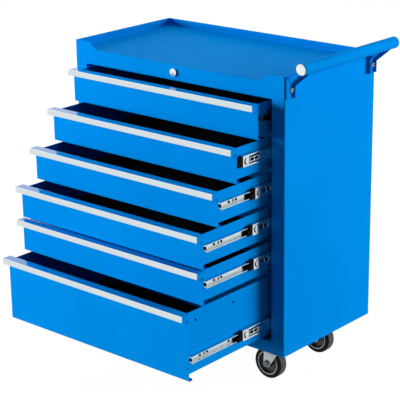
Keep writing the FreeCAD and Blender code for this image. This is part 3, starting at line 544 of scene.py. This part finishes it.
# Slide screws. Black flat headed screws with a cross recess fix the inner members to the
# drawers' sides, and steel tabs stand through the upright slots and carry the load. A small
# stop closes the front end of each member. The heads, tabs and stop are near-black, partly as
# blackened steel and partly as painted shade in the holes, the slots and the open channel end.
INNER_FLANGE = 0.0084
INNER_SHEET = 0.0012
HEAD_RADIUS = 0.0032
HEAD_RISE = 0.0009
RECESS_REACH = 0.0019
RECESS_BAR = 0.00035
TAB_HALF = (0.0014, 0.0033)
STOP_LENGTH = 0.0014
STOP_HALF = 0.0040
STOP_DEPTH = 0.0062
SCREW_EDGE = 0.0005
TAB_ROUND = 0.0003
STOP_ROUND = 0.0006
BLACKENED_AND_SHADE = (0.02, 0.022, 0.028)
SCREW_PLACES = (0.0, 0.023, 0.094, 0.1195, 0.1945)
TAB_PLACES = (0.0135, 0.1115, 0.1795)
FIRST_SCREW = 0.0325
BODY_MIDDLE = -0.030

# Near-black metal: partly blackened steel, partly painted shade in the holes and slots.
dark_bolt_and_shade, bolt_shader = finish("dark_bolt_and_shade", BLACKENED_AND_SHADE, roughness=0.4, metallic=1.0)
vary_roughness(dark_bolt_and_shade, bolt_shader, pattern(dark_bolt_and_shade, scale=220.0), limits=(0.34, 0.48))
emboss(dark_bolt_and_shade, bolt_shader, pattern(dark_bolt_and_shade, scale=1500.0), height=0.00001)


def take_away(piece, cutter):
    """Cut one piece by another, which is then thrown away."""
    apply_modifier(piece, "BOOLEAN", operation="DIFFERENCE", solver="EXACT", object=cutter)
    bpy.data.objects.remove(cutter)


def both_sides(piece):
    """Add the mirror image on the cabinet's other side to a finished shape."""
    bpy.ops.object.select_all(action="DESELECT")
    piece.select_set(True)
    bpy.context.view_layer.objects.active = piece
    bpy.ops.object.mode_set(mode="EDIT")
    bpy.ops.mesh.select_all(action="SELECT")
    bpy.ops.mesh.duplicate()
    bpy.ops.transform.resize(value=(-1, 1, 1), center_override=(BODY_MIDDLE, 0, 0))
    bpy.ops.mesh.flip_normals()
    bpy.ops.object.mode_set(mode="OBJECT")


member_low, member_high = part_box("drawer_1_inner_slides")
web_x = member_high[0] - INNER_FLANGE + INNER_SHEET
slide_level = (member_low[2] + member_high[2]) / 2
screw_y = member_low[1] + FIRST_SCREW
bpy.ops.mesh.primitive_cylinder_add(
    vertices=24,
    radius=HEAD_RADIUS,
    depth=INNER_SHEET + HEAD_RISE,
    location=(web_x - (INNER_SHEET - HEAD_RISE) / 2, screw_y, slide_level),
    rotation=(0, math.pi / 2, 0),
)
screw = bpy.context.object
bpy.ops.object.transform_apply()
break_edges(screw, SCREW_EDGE, segments=2)
for half_y, half_z in ((RECESS_REACH, RECESS_BAR), (RECESS_BAR, RECESS_REACH)):
    bar = block(
        "bar",
        (web_x - INNER_SHEET / 2, screw_y - half_y, slide_level - half_z),
        (web_x + INNER_SHEET, screw_y + half_y, slide_level + half_z),
    )
    bpy.ops.object.mode_set(mode="OBJECT")
    take_away(screw, bar)
fixings = [screw] + [again(screw, "screw", (0, place, 0)) for place in SCREW_PLACES[1:]]
for place in TAB_PLACES:
    tab = block(
        "tab",
        (web_x - INNER_SHEET, screw_y + place - TAB_HALF[0], slide_level - TAB_HALF[1]),
        (web_x + HEAD_RISE, screw_y + place + TAB_HALF[0], slide_level + TAB_HALF[1]),
    )
    break_edges(tab, TAB_ROUND, segments=2)
    fixings.append(tab)
stop = block(
    "stop",
    (web_x, member_low[1], slide_level - STOP_HALF),
    (web_x + STOP_DEPTH, member_low[1] + STOP_LENGTH, slide_level + STOP_HALF),
)
break_edges(stop, STOP_ROUND, segments=2)
screws = join_all(fixings + [stop], "drawer_1_slide_screws")
both_sides(screws)
in_every_drawer(screws, "_inner_slides", "_slide_screws", dark_bolt_and_shade, "", False)

# Ball slides, middle members. A channel of zinc plated strip with rolled edges runs between
# the other two; its web is pierced by a crescent at the front and by slots for the rivets.
WEB = 0.0010
RAIL_HEIGHT = 0.025
RAIL_FLANGE = 0.0083
RAIL_BEND = 0.0008
CAGE_LENGTH = 0.016
CRESCENT_RADIUS = 0.0075
CRESCENT_SETBACK = 0.011
CRESCENT_WIDTH = 0.0045
SLOT_HALF_WIDTH = 0.0036
SLOT_LENGTH = 0.0133
SLOT_SETBACKS = (0.0305, 0.0448, 0.235)
RECESS_START = 0.0195
RECESS_HALF = 0.0088
RECESS_DEPTH = 0.0005
CUTTER_DEPTH = 0.01
RAIL_EDGE = 0.0002

rail_low, rail_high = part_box("drawer_1_mid_slides")
rail_x = rail_high[0]
rail_front = rail_low[1] + CAGE_LENGTH
rail_level = (rail_low[2] + rail_high[2]) / 2


def peg(radius, y, length=0.0):
    """A round cutter across the web, or one drawn out along the rail to make a slot."""
    bpy.ops.mesh.primitive_cylinder_add(
        vertices=48,
        radius=radius,
        depth=CUTTER_DEPTH,
        location=(rail_x, y, rail_level),
        rotation=(0, math.pi / 2, 0),
    )
    cutter = bpy.context.object
    bpy.ops.object.transform_apply()
    if length:
        bpy.ops.object.mode_set(mode="EDIT")
        bpy.ops.transform.translate(value=(0, radius - length / 2, 0))
        cut_across(1, (y + radius - length / 2,))
        pick("FACE", lambda middle, normal: middle.y > y + radius - length / 2)
        bpy.ops.transform.translate(value=(0, length - 2 * radius, 0))
        bpy.ops.object.mode_set(mode="OBJECT")
    return cutter


rail = block(
    "drawer_1_runner_rails",
    (rail_x - WEB, rail_front, rail_level - RAIL_HEIGHT / 2),
    (rail_x, rail_high[1], rail_level + RAIL_HEIGHT / 2),
)
cut_across(2, (rail_level - RAIL_HEIGHT / 2 + WEB, rail_level + RAIL_HEIGHT / 2 - WEB))
pick(
    "FACE",
    lambda middle, normal: normal.x < -STRAIGHT
    and abs(middle.z - rail_level) > RAIL_HEIGHT / 2 - WEB,
)
pull_out(x=WEB - RAIL_FLANGE)
pick(
    "EDGE",
    lambda middle, along: abs(along.y) > STRAIGHT
    and middle.x > rail_x - WEB / 4
    and abs(middle.z - rail_level) > RAIL_HEIGHT / 2 - WEB / 4,
)
bpy.ops.mesh.bevel(offset=RAIL_BEND, segments=4)
cut_across(1, (rail_front + RECESS_START,))
cut_across(2, (rail_level - RECESS_HALF, rail_level + RECESS_HALF))
pick(
    "FACE",
    lambda middle, normal: normal.x > STRAIGHT
    and middle.y > rail_front + RECESS_START
    and abs(middle.z - rail_level) < RECESS_HALF,
)
bpy.ops.mesh.inset(thickness=RECESS_DEPTH, depth=-RECESS_DEPTH)
bpy.ops.object.mode_set(mode="OBJECT")
crescent = peg(CRESCENT_RADIUS, rail_front + CRESCENT_SETBACK)
take_away(crescent, peg(CRESCENT_RADIUS, rail_front + CRESCENT_SETBACK + CRESCENT_WIDTH))
take_away(rail, crescent)
for setback in SLOT_SETBACKS:
    take_away(rail, peg(SLOT_HALF_WIDTH, rail_front + setback, SLOT_LENGTH))
bpy.ops.object.select_all(action="DESELECT")
rail.select_set(True)
bpy.context.view_layer.objects.active = rail
break_edges(rail, RAIL_EDGE, segments=1)
both_sides(rail)
in_every_drawer(rail, "_mid_slides", "_runner_rails", bright_zinc, "_runners")

# Cages. A block of black plastic is snapped into the front of each middle member. It wipes
# the inner member, which runs through it, has a window on its outer side, and carries the
# lever that lies behind the middle member's slots. The black lever is also painted shade that
# darkens what is seen through the slots.
CAGE_RISE = -0.0026
CAGE_DEPTH = 0.01045
CAGE_COVER = 0.0016
PASSAGE_HALF = 0.00835
WINDOW_LENGTH = 0.006
WINDOW_BOTTOM = 0.002
WINDOW_TOP = 0.0075
LEVER_LENGTH = 0.054
LEVER_HALF = 0.0078
LEVER_SHEET = 0.0012
LEVER_ROUND = 0.6
CAGE_EDGE = 0.0004
CUT_PAST = 0.001
PLASTIC_BLACK_AND_PAINTED_DARK = (0.004, 0.004, 0.005)

black_plastic_and_painted_dark, plastic_shader = finish("black_plastic_and_painted_dark", PLASTIC_BLACK_AND_PAINTED_DARK, roughness=0.5)
plastic_shader.inputs["Specular IOR Level"].default_value = 0.03
vary_roughness(
    black_plastic_and_painted_dark, plastic_shader, pattern(black_plastic_and_painted_dark, scale=70.0), limits=(0.46, 0.58)
)
emboss(black_plastic_and_painted_dark, plastic_shader, pattern(black_plastic_and_painted_dark, scale=1200.0), height=0.00003)

cage_half = RAIL_HEIGHT / 2 + CAGE_RISE
cage = block(
    "drawer_1_cages",
    (rail_x - CAGE_DEPTH, rail_low[1], rail_level - cage_half),
    (rail_x, rail_front, rail_level + cage_half),
)
bpy.ops.object.mode_set(mode="OBJECT")
passage = block(
    "passage",
    (rail_x - 2 * CAGE_DEPTH, rail_low[1] - CUT_PAST, rail_level - PASSAGE_HALF),
    (rail_x - CAGE_COVER, rail_front + CUT_PAST, rail_level + PASSAGE_HALF),
)
bpy.ops.object.mode_set(mode="OBJECT")
take_away(cage, passage)
window = block(
    "window",
    (rail_x - 2 * CAGE_COVER, rail_low[1] - CUT_PAST, rail_level + WINDOW_BOTTOM),
    (rail_x + CUT_PAST, rail_low[1] + WINDOW_LENGTH, rail_level + WINDOW_TOP),
)
bpy.ops.object.mode_set(mode="OBJECT")
take_away(cage, window)
bpy.ops.object.select_all(action="DESELECT")
# The black lever behind the slots is also painted shade for the slots.
lever = block(
    "lever",
    (rail_x - WEB - LEVER_SHEET, rail_front, rail_level - LEVER_HALF),
    (rail_x - WEB, rail_front + LEVER_LENGTH, rail_level + LEVER_HALF),
)
pick(
    "EDGE",
    lambda middle, along: abs(along.x) > STRAIGHT and middle.y > rail_front + LEVER_LENGTH / 2,
)
bpy.ops.mesh.bevel(offset=LEVER_HALF * LEVER_ROUND, segments=6)
bpy.ops.object.mode_set(mode="OBJECT")
cage = join_all([cage, lever], "drawer_1_cages")
break_edges(cage, CAGE_EDGE, segments=2)
both_sides(cage)
in_every_drawer(cage, "_mid_slides", "_cages", black_plastic_and_painted_dark, "_runners", False)

# Ball strips. Steel balls run in a pressed strip between the members, above and below the
# middle member: one pair near its front on the inner member, one near its rear on the outer.
BALL_RADIUS = 0.0013
BALL_COUNT = 5
STRIP_WIDTH = 0.0045
STRIP_SHEET = 0.0008
STRIP_LENGTH = 0.100
STRIP_END_GAP = 0.012
STRIP_PLACE = 0.55
STRIP_X = rail_x - STRIP_PLACE * RAIL_FLANGE
STRIP_EDGE = 0.0002
INNER_GAP = 0.00975
OUTER_GAP = 0.01415
BALL_STEEL = (0.62, 0.63, 0.65)

ball_steel, ball_shader = finish("ball_steel", BALL_STEEL, roughness=0.18, metallic=1.0)
vary_roughness(ball_steel, ball_shader, pattern(ball_steel, scale=300.0), limits=(0.12, 0.3))


def ball_strip(start, height):
    """One strip with its row of balls."""
    strip = block(
        "strip",
        (STRIP_X - STRIP_WIDTH / 2, start, rail_level + height - STRIP_SHEET / 2),
        (STRIP_X + STRIP_WIDTH / 2, start + STRIP_LENGTH, rail_level + height + STRIP_SHEET / 2),
    )
    break_edges(strip, STRIP_EDGE, segments=1)
    pitch = STRIP_LENGTH / BALL_COUNT
    bpy.ops.mesh.primitive_uv_sphere_add(
        segments=10,
        ring_count=6,
        radius=BALL_RADIUS,
        location=(STRIP_X, start + pitch / 2, rail_level + height),
    )
    balls = bpy.context.object
    bpy.ops.object.transform_apply()
    apply_modifier(
        balls,
        "ARRAY",
        count=BALL_COUNT,
        use_relative_offset=False,
        use_constant_offset=True,
        constant_offset_displace=(0, pitch, 0),
    )
    bpy.ops.object.shade_smooth()
    strip.select_set(True)
    bpy.context.view_layer.objects.active = strip
    bpy.ops.object.join()
    return strip


strips = []
for start, gap in (
    (rail_front + STRIP_END_GAP, INNER_GAP),
    (rail_high[1] - STRIP_END_GAP - STRIP_LENGTH, OUTER_GAP),
):
    strips += [ball_strip(start, gap), ball_strip(start, -gap)]
strips = join_all(strips, "drawer_1_ball_strips")
both_sides(strips)
in_every_drawer(
    strips, "_mid_slides", "_ball_strips", ball_steel, "_runners", False
)

# Lock. A round lock in the middle of the header: polished chrome ring, and a plug with a
# key slot that turns the rod and the cam behind it.
CHROME = (0.86, 0.87, 0.88)

chrome, chrome_shader = finish("polished_chrome", CHROME, roughness=0.08, metallic=1.0)
vary_roughness(chrome, chrome_shader, pattern(chrome, scale=90.0), limits=(0.05, 0.12))
dress(chrome, ["lock_housing", "lock_core"])

# Push handle. A round tube welded into two pressed brackets, powder coated with the body, and
# closed at both ends by polished domed caps. Each cap is black from the seat where it meets
# the tube to where its dome starts: a painted dark reflection along the cap's edge.
CAP_RADIUS = 0.0123
CAP_DOME = 0.004
CAP_SEAT = 0.0013
CAP_STEPS = 8
CAP_PLUG_RADIUS = 0.0108
CAP_PLUG_LENGTH = 0.010
CAP_SEAT_DEPTH = 0.0012
CAP_LIP = 0.0003
CAP_STRAIGHT = 1.6
SEAT_MARGIN = 0.00005
CAP_METAL = (0.78, 0.82, 0.81)
SEED_SIZE = 0.001
WELD_GAP = 0.000002
TURNED_SHARP = math.radians(35)


def turned(name, centre, profile, steps=72):
    """A piece turned about a line along Y: a profile of radius and place along the line."""
    bpy.ops.mesh.primitive_plane_add(size=SEED_SIZE, location=centre)
    piece = bpy.context.object
    piece.name = name
    bpy.ops.object.transform_apply()
    bpy.ops.object.mode_set(mode="EDIT")
    bpy.ops.mesh.select_mode(type="VERT")
    bpy.ops.mesh.select_all(action="SELECT")
    bpy.ops.mesh.merge(type="CENTER")
    here = (0.0, 0.0)
    for number, (radius, along) in enumerate(profile):
        step = (0, along - here[1], radius - here[0])
        if number:
            bpy.ops.mesh.extrude_region_move(TRANSFORM_OT_translate={"value": step})
        else:
            bpy.ops.transform.translate(value=step)
        here = (radius, along)
    bpy.ops.mesh.select_all(action="SELECT")
    bpy.ops.mesh.spin(steps=steps, angle=2 * math.pi, center=centre, axis=(0, 1, 0))
    bpy.ops.mesh.select_all(action="SELECT")
    bpy.ops.mesh.remove_doubles(threshold=WELD_GAP)
    bpy.ops.mesh.normals_make_consistent(inside=False)
    bpy.ops.object.mode_set(mode="OBJECT")
    bpy.ops.object.shade_smooth_by_angle(angle=TURNED_SHARP)
    return piece


caps_low, caps_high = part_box("handle_end_caps")
cap_centre_x = (caps_low[0] + caps_high[0]) / 2
cap_centre_z = (caps_low[2] + caps_high[2]) / 2
dome_start = CAP_SEAT * CAP_STRAIGHT
dome_profile = [
    (CAP_PLUG_RADIUS, -CAP_PLUG_LENGTH),
    (CAP_PLUG_RADIUS, 0.0),
    (CAP_RADIUS - CAP_SEAT_DEPTH, 0.0),
    (CAP_RADIUS - CAP_SEAT_DEPTH, CAP_SEAT),
    (CAP_RADIUS - CAP_LIP, CAP_SEAT),
    (CAP_RADIUS, CAP_SEAT + CAP_LIP),
    (CAP_RADIUS, dome_start),
]
for step in range(1, CAP_STEPS + 1):
    angle = math.pi / 2 * step / CAP_STEPS
    dome_profile.append(
        (CAP_RADIUS * math.cos(angle), dome_start + (CAP_DOME - dome_start) * math.sin(angle))
    )
cap_front = turned(
    "handle_cap_front",
    (cap_centre_x, caps_low[1] + CAP_DOME, cap_centre_z),
    [(radius, -along) for radius, along in dome_profile],
)
cap_rear = turned(
    "handle_cap_rear", (cap_centre_x, caps_high[1] - CAP_DOME, cap_centre_z), dome_profile
)
cap_gloss, cap_shader = finish("cap_polished", CAP_METAL, roughness=0.12, metallic=1.0)
vary_roughness(cap_gloss, cap_shader, pattern(cap_gloss, scale=60.0), limits=(0.08, 0.16))
# The faces from the seat to the dome's start are black: a painted dark reflection on the edge.
for cap, face in ((cap_front, caps_low[1] + CAP_DOME), (cap_rear, caps_high[1] - CAP_DOME)):
    paint_faces(
        cap,
        (cap_gloss, black_plastic_and_painted_dark),
        lambda middle, normal, face=face: abs(middle.y - face) < dome_start - SEAT_MARGIN,
    )
    hand_over(cap, cap_gloss, "cabinet", ["handle_end_caps"])

# Casters, steel parts. Plates, forks and frames are pressed from strip and zinc plated with a
# blue tint; the axle is a bolt with a hexagon head and a nut.
BLUE_ZINC = (0.38, 0.41, 0.43)
BLUE_ZINC_TONES = ((0.32, 0.35, 0.37), (0.42, 0.45, 0.47))
AXLE_GREY = (0.13, 0.14, 0.15)

fork_zinc, fork_shader = finish("blue_zinc", BLUE_ZINC, roughness=0.3, metallic=1.0)
vary_colour(fork_zinc, fork_shader, pattern(fork_zinc, scale=110.0), *BLUE_ZINC_TONES)
vary_roughness(fork_zinc, fork_shader, pattern(fork_zinc, scale=200.0), limits=(0.26, 0.42))
emboss(fork_zinc, fork_shader, pattern(fork_zinc, scale=500.0), height=0.00003)
dress(
    fork_zinc,
    ["rigid_caster_frames", "swivel_caster_plates", "right_front_fork", "right_rear_fork"],
)
axle_steel, axle_shader = finish("axle_steel", AXLE_GREY, roughness=0.3, metallic=1.0)
vary_roughness(axle_steel, axle_shader, pattern(axle_steel, scale=250.0), limits=(0.24, 0.4))
dress(axle_steel, ["rigid_caster_axles", "right_front_axle", "right_rear_axle"])

# Caster wheels. A grey rubber tyre is moulded round a plastic centre with a raised bead beside
# the tyre, a thin web and a boss; the tyre's sides are dished and its shoulders rounded. The
# tyre's sides are painted near-black against the grey tread, as painted shade on one rubber.
# The centre is near-black with a thin light grey band round the bead's edge: partly the
# plastics' own colours, partly a painted highlight on that edge and painted shade in the web.
WHEEL_RADIUS = 0.0375
TYRE_HALF = 0.012
TYRE_SHOULDER = 0.004
RIM_RADIUS = 0.028
RIM_HALF = 0.0125
RIM_WALL = 0.0035
WEB_HALF = 0.004
BOSS_RADIUS = 0.0095
BOSS_HALF = 0.0132
BORE_RADIUS = 0.00408
SHOULDER_STEPS = 6
DISH = ((0.0, 0.0112), (0.0012, 0.0108), (0.0032, 0.0114))
MOULD_LINE = ((0.0, 0.0004), (0.0001, 0.0003))
BOSS_EDGE = 0.0008
BOSS_FILLET = ((0.0004, 0.001), (0.0014, 0.0))
RIM_FILLET = ((0.0014, 0.0), (0.0002, 0.0012))
BEAD_EDGE = ((0.001, 0.0006), (0.0016, 0.0))
BEAD_OUTER_EDGE = 0.0005
BEAD_HIGHLIGHT_BAND = (0.0007, 0.0003)
SHADED_SIDE_BAND = 0.5
RUBBER_GREY = (0.055, 0.056, 0.057)
RUBBER_TONES = ((0.043, 0.044, 0.044), (0.065, 0.066, 0.066))
HUB_BLACK_AND_SHADE = (0.020, 0.026, 0.032)
BEAD_GREY_AND_HIGHLIGHT = (0.50, 0.52, 0.54)
SHADED_SIDE_BLACK = (0.007, 0.007, 0.008)
WHEELS = ("left_front", "left_rear", "right_front", "right_rear")

tyre_rubber, tyre_shader = finish("tyre_rubber", RUBBER_GREY, roughness=0.62)
tyre_shader.inputs["Specular IOR Level"].default_value = 0.35
vary_colour(tyre_rubber, tyre_shader, pattern(tyre_rubber, scale=45.0), *RUBBER_TONES)
vary_roughness(tyre_rubber, tyre_shader, pattern(tyre_rubber, scale=80.0), limits=(0.55, 0.72))
emboss(tyre_rubber, tyre_shader, pattern(tyre_rubber, scale=900.0), height=0.00005)
hub_plastic, hub_shader = finish("hub_plastic", HUB_BLACK_AND_SHADE, roughness=0.42)
vary_roughness(hub_plastic, hub_shader, pattern(hub_plastic, scale=60.0), limits=(0.38, 0.5))
emboss(hub_plastic, hub_shader, pattern(hub_plastic, scale=1100.0), height=0.00002)
bead_plastic_and_highlight, bead_shader = finish("bead_plastic_and_highlight", BEAD_GREY_AND_HIGHLIGHT, roughness=0.4)
emboss(bead_plastic_and_highlight, bead_shader, pattern(bead_plastic_and_highlight, scale=1100.0), height=0.00002)
shaded_side_rubber, side_shader = finish("shaded_side_rubber", SHADED_SIDE_BLACK, roughness=0.6)
side_shader.inputs["Specular IOR Level"].default_value = 0.1
vary_roughness(shaded_side_rubber, side_shader, pattern(shaded_side_rubber, scale=80.0), limits=(0.55, 0.7))
emboss(shaded_side_rubber, side_shader, pattern(shaded_side_rubber, scale=900.0), height=0.00004)

half_tyre = [(RIM_RADIUS + outwards, along) for outwards, along in DISH]
half_tyre.append((WHEEL_RADIUS - TYRE_SHOULDER, TYRE_HALF))
for step in range(1, SHOULDER_STEPS + 1):
    angle = math.pi / 2 * step / SHOULDER_STEPS
    half_tyre.append(
        (
            WHEEL_RADIUS - TYRE_SHOULDER + TYRE_SHOULDER * math.sin(angle),
            TYRE_HALF - TYRE_SHOULDER + TYRE_SHOULDER * math.cos(angle),
        )
    )
half_tyre += [(WHEEL_RADIUS - inwards, along) for inwards, along in MOULD_LINE]
tyre_profile = half_tyre + [(radius, -along) for radius, along in half_tyre[::-1]]
tyre_profile.append(tyre_profile[0])

rim_inside = RIM_RADIUS - RIM_WALL
half_hub = [
    (BORE_RADIUS, BOSS_HALF),
    (BOSS_RADIUS - BOSS_EDGE, BOSS_HALF),
    (BOSS_RADIUS, BOSS_HALF - BOSS_EDGE),
]
half_hub += [(BOSS_RADIUS + outwards, WEB_HALF + rise) for outwards, rise in BOSS_FILLET]
half_hub += [(rim_inside - inwards, WEB_HALF + rise) for inwards, rise in RIM_FILLET]
half_hub += [(rim_inside + outwards, RIM_HALF - drop) for outwards, drop in BEAD_EDGE]
half_hub += [(RIM_RADIUS - BEAD_OUTER_EDGE, RIM_HALF), (RIM_RADIUS, RIM_HALF - BEAD_OUTER_EDGE)]
hub_profile = half_hub + [(radius, -along) for radius, along in half_hub[::-1]]
hub_profile.append(hub_profile[0])

wheel_low, wheel_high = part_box("left_front_tyre")
wheel_centre = (Vector(wheel_low) + Vector(wheel_high)) / 2
tyres = [turned("left_front_rubber_tyre", wheel_centre, tyre_profile, steps=96)]
hubs = [turned("left_front_wheel_centre", wheel_centre, hub_profile)]
# The tyre's sides are painted near-black against the tread: painted shade.
paint_faces(
    tyres[0],
    (tyre_rubber, shaded_side_rubber),
    lambda middle, normal: abs(middle.y - wheel_centre.y)
    > TYRE_HALF - TYRE_SHOULDER * SHADED_SIDE_BAND,
)
# A light grey band round the bead's edge: partly the bead's plastic, partly painted highlight.
paint_faces(
    hubs[0],
    (hub_plastic, bead_plastic_and_highlight),
    lambda middle, normal: -BEAD_HIGHLIGHT_BAND[0]
    < abs(middle.y - wheel_centre.y) - RIM_HALF
    < BEAD_HIGHLIGHT_BAND[1],
)
for wheel in WHEELS[1:]:
    low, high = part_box(wheel + "_tyre")
    move = (Vector(low) + Vector(high)) / 2 - wheel_centre
    tyres.append(again(tyres[0], wheel + "_rubber_tyre", move))
    hubs.append(again(hubs[0], wheel + "_wheel_centre", move))
for wheel, rubber_tyre, wheel_hub in zip(WHEELS, tyres, hubs):
    hand_over(rubber_tyre, tyre_rubber, wheel + "_wheel", [wheel + "_tyre"])
    hand_over(wheel_hub, hub_plastic, wheel + "_wheel", [wheel + "_hub"])

# Bolts. The casters hang on hexagon bolts, the brackets on round headed socket screws; all
# are zinc plated steel, darker than the slides. The hexagon sockets are drawn as thin black
# hexagons standing on the heads: painted shade for the sockets' depth.
SOCKET_FLATS_RADIUS = 0.0026
SOCKET_RISE = 0.00012
SOCKET_EDGE = 0.00008
BRACKET_BOLTS = ((-0.00375, 0.699), (0.29125, 0.699))
BOLT_GREY = (0.30, 0.33, 0.37)

grey_bolt, grey_shader = finish("grey_bolt", BOLT_GREY, roughness=0.32, metallic=1.0)
vary_roughness(grey_bolt, grey_shader, pattern(grey_bolt, scale=220.0), limits=(0.26, 0.4))
dress(grey_bolt, ["mounting_bolts"])
button_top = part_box("mounting_bolts")[1][0]
painted_socket_shades = []
# Thin black hexagons on the heads: painted shade for the sockets.
for bolt_y, bolt_z in BRACKET_BOLTS:
    bpy.ops.mesh.primitive_cylinder_add(
        vertices=6,
        radius=SOCKET_FLATS_RADIUS,
        depth=4 * SOCKET_RISE,
        location=(button_top - SOCKET_RISE, bolt_y, bolt_z),
        rotation=(0, math.pi / 2, 0),
    )
    painted_socket_shade = bpy.context.object
    bpy.ops.object.transform_apply()
    break_edges(painted_socket_shade, SOCKET_EDGE, segments=1)
    painted_socket_shades.append(painted_socket_shade)
painted_socket_shades = join_all(painted_socket_shades, "bracket_bolt_painted_socket_shade")
hand_over(painted_socket_shades, black_plastic_and_painted_dark, "cabinet")
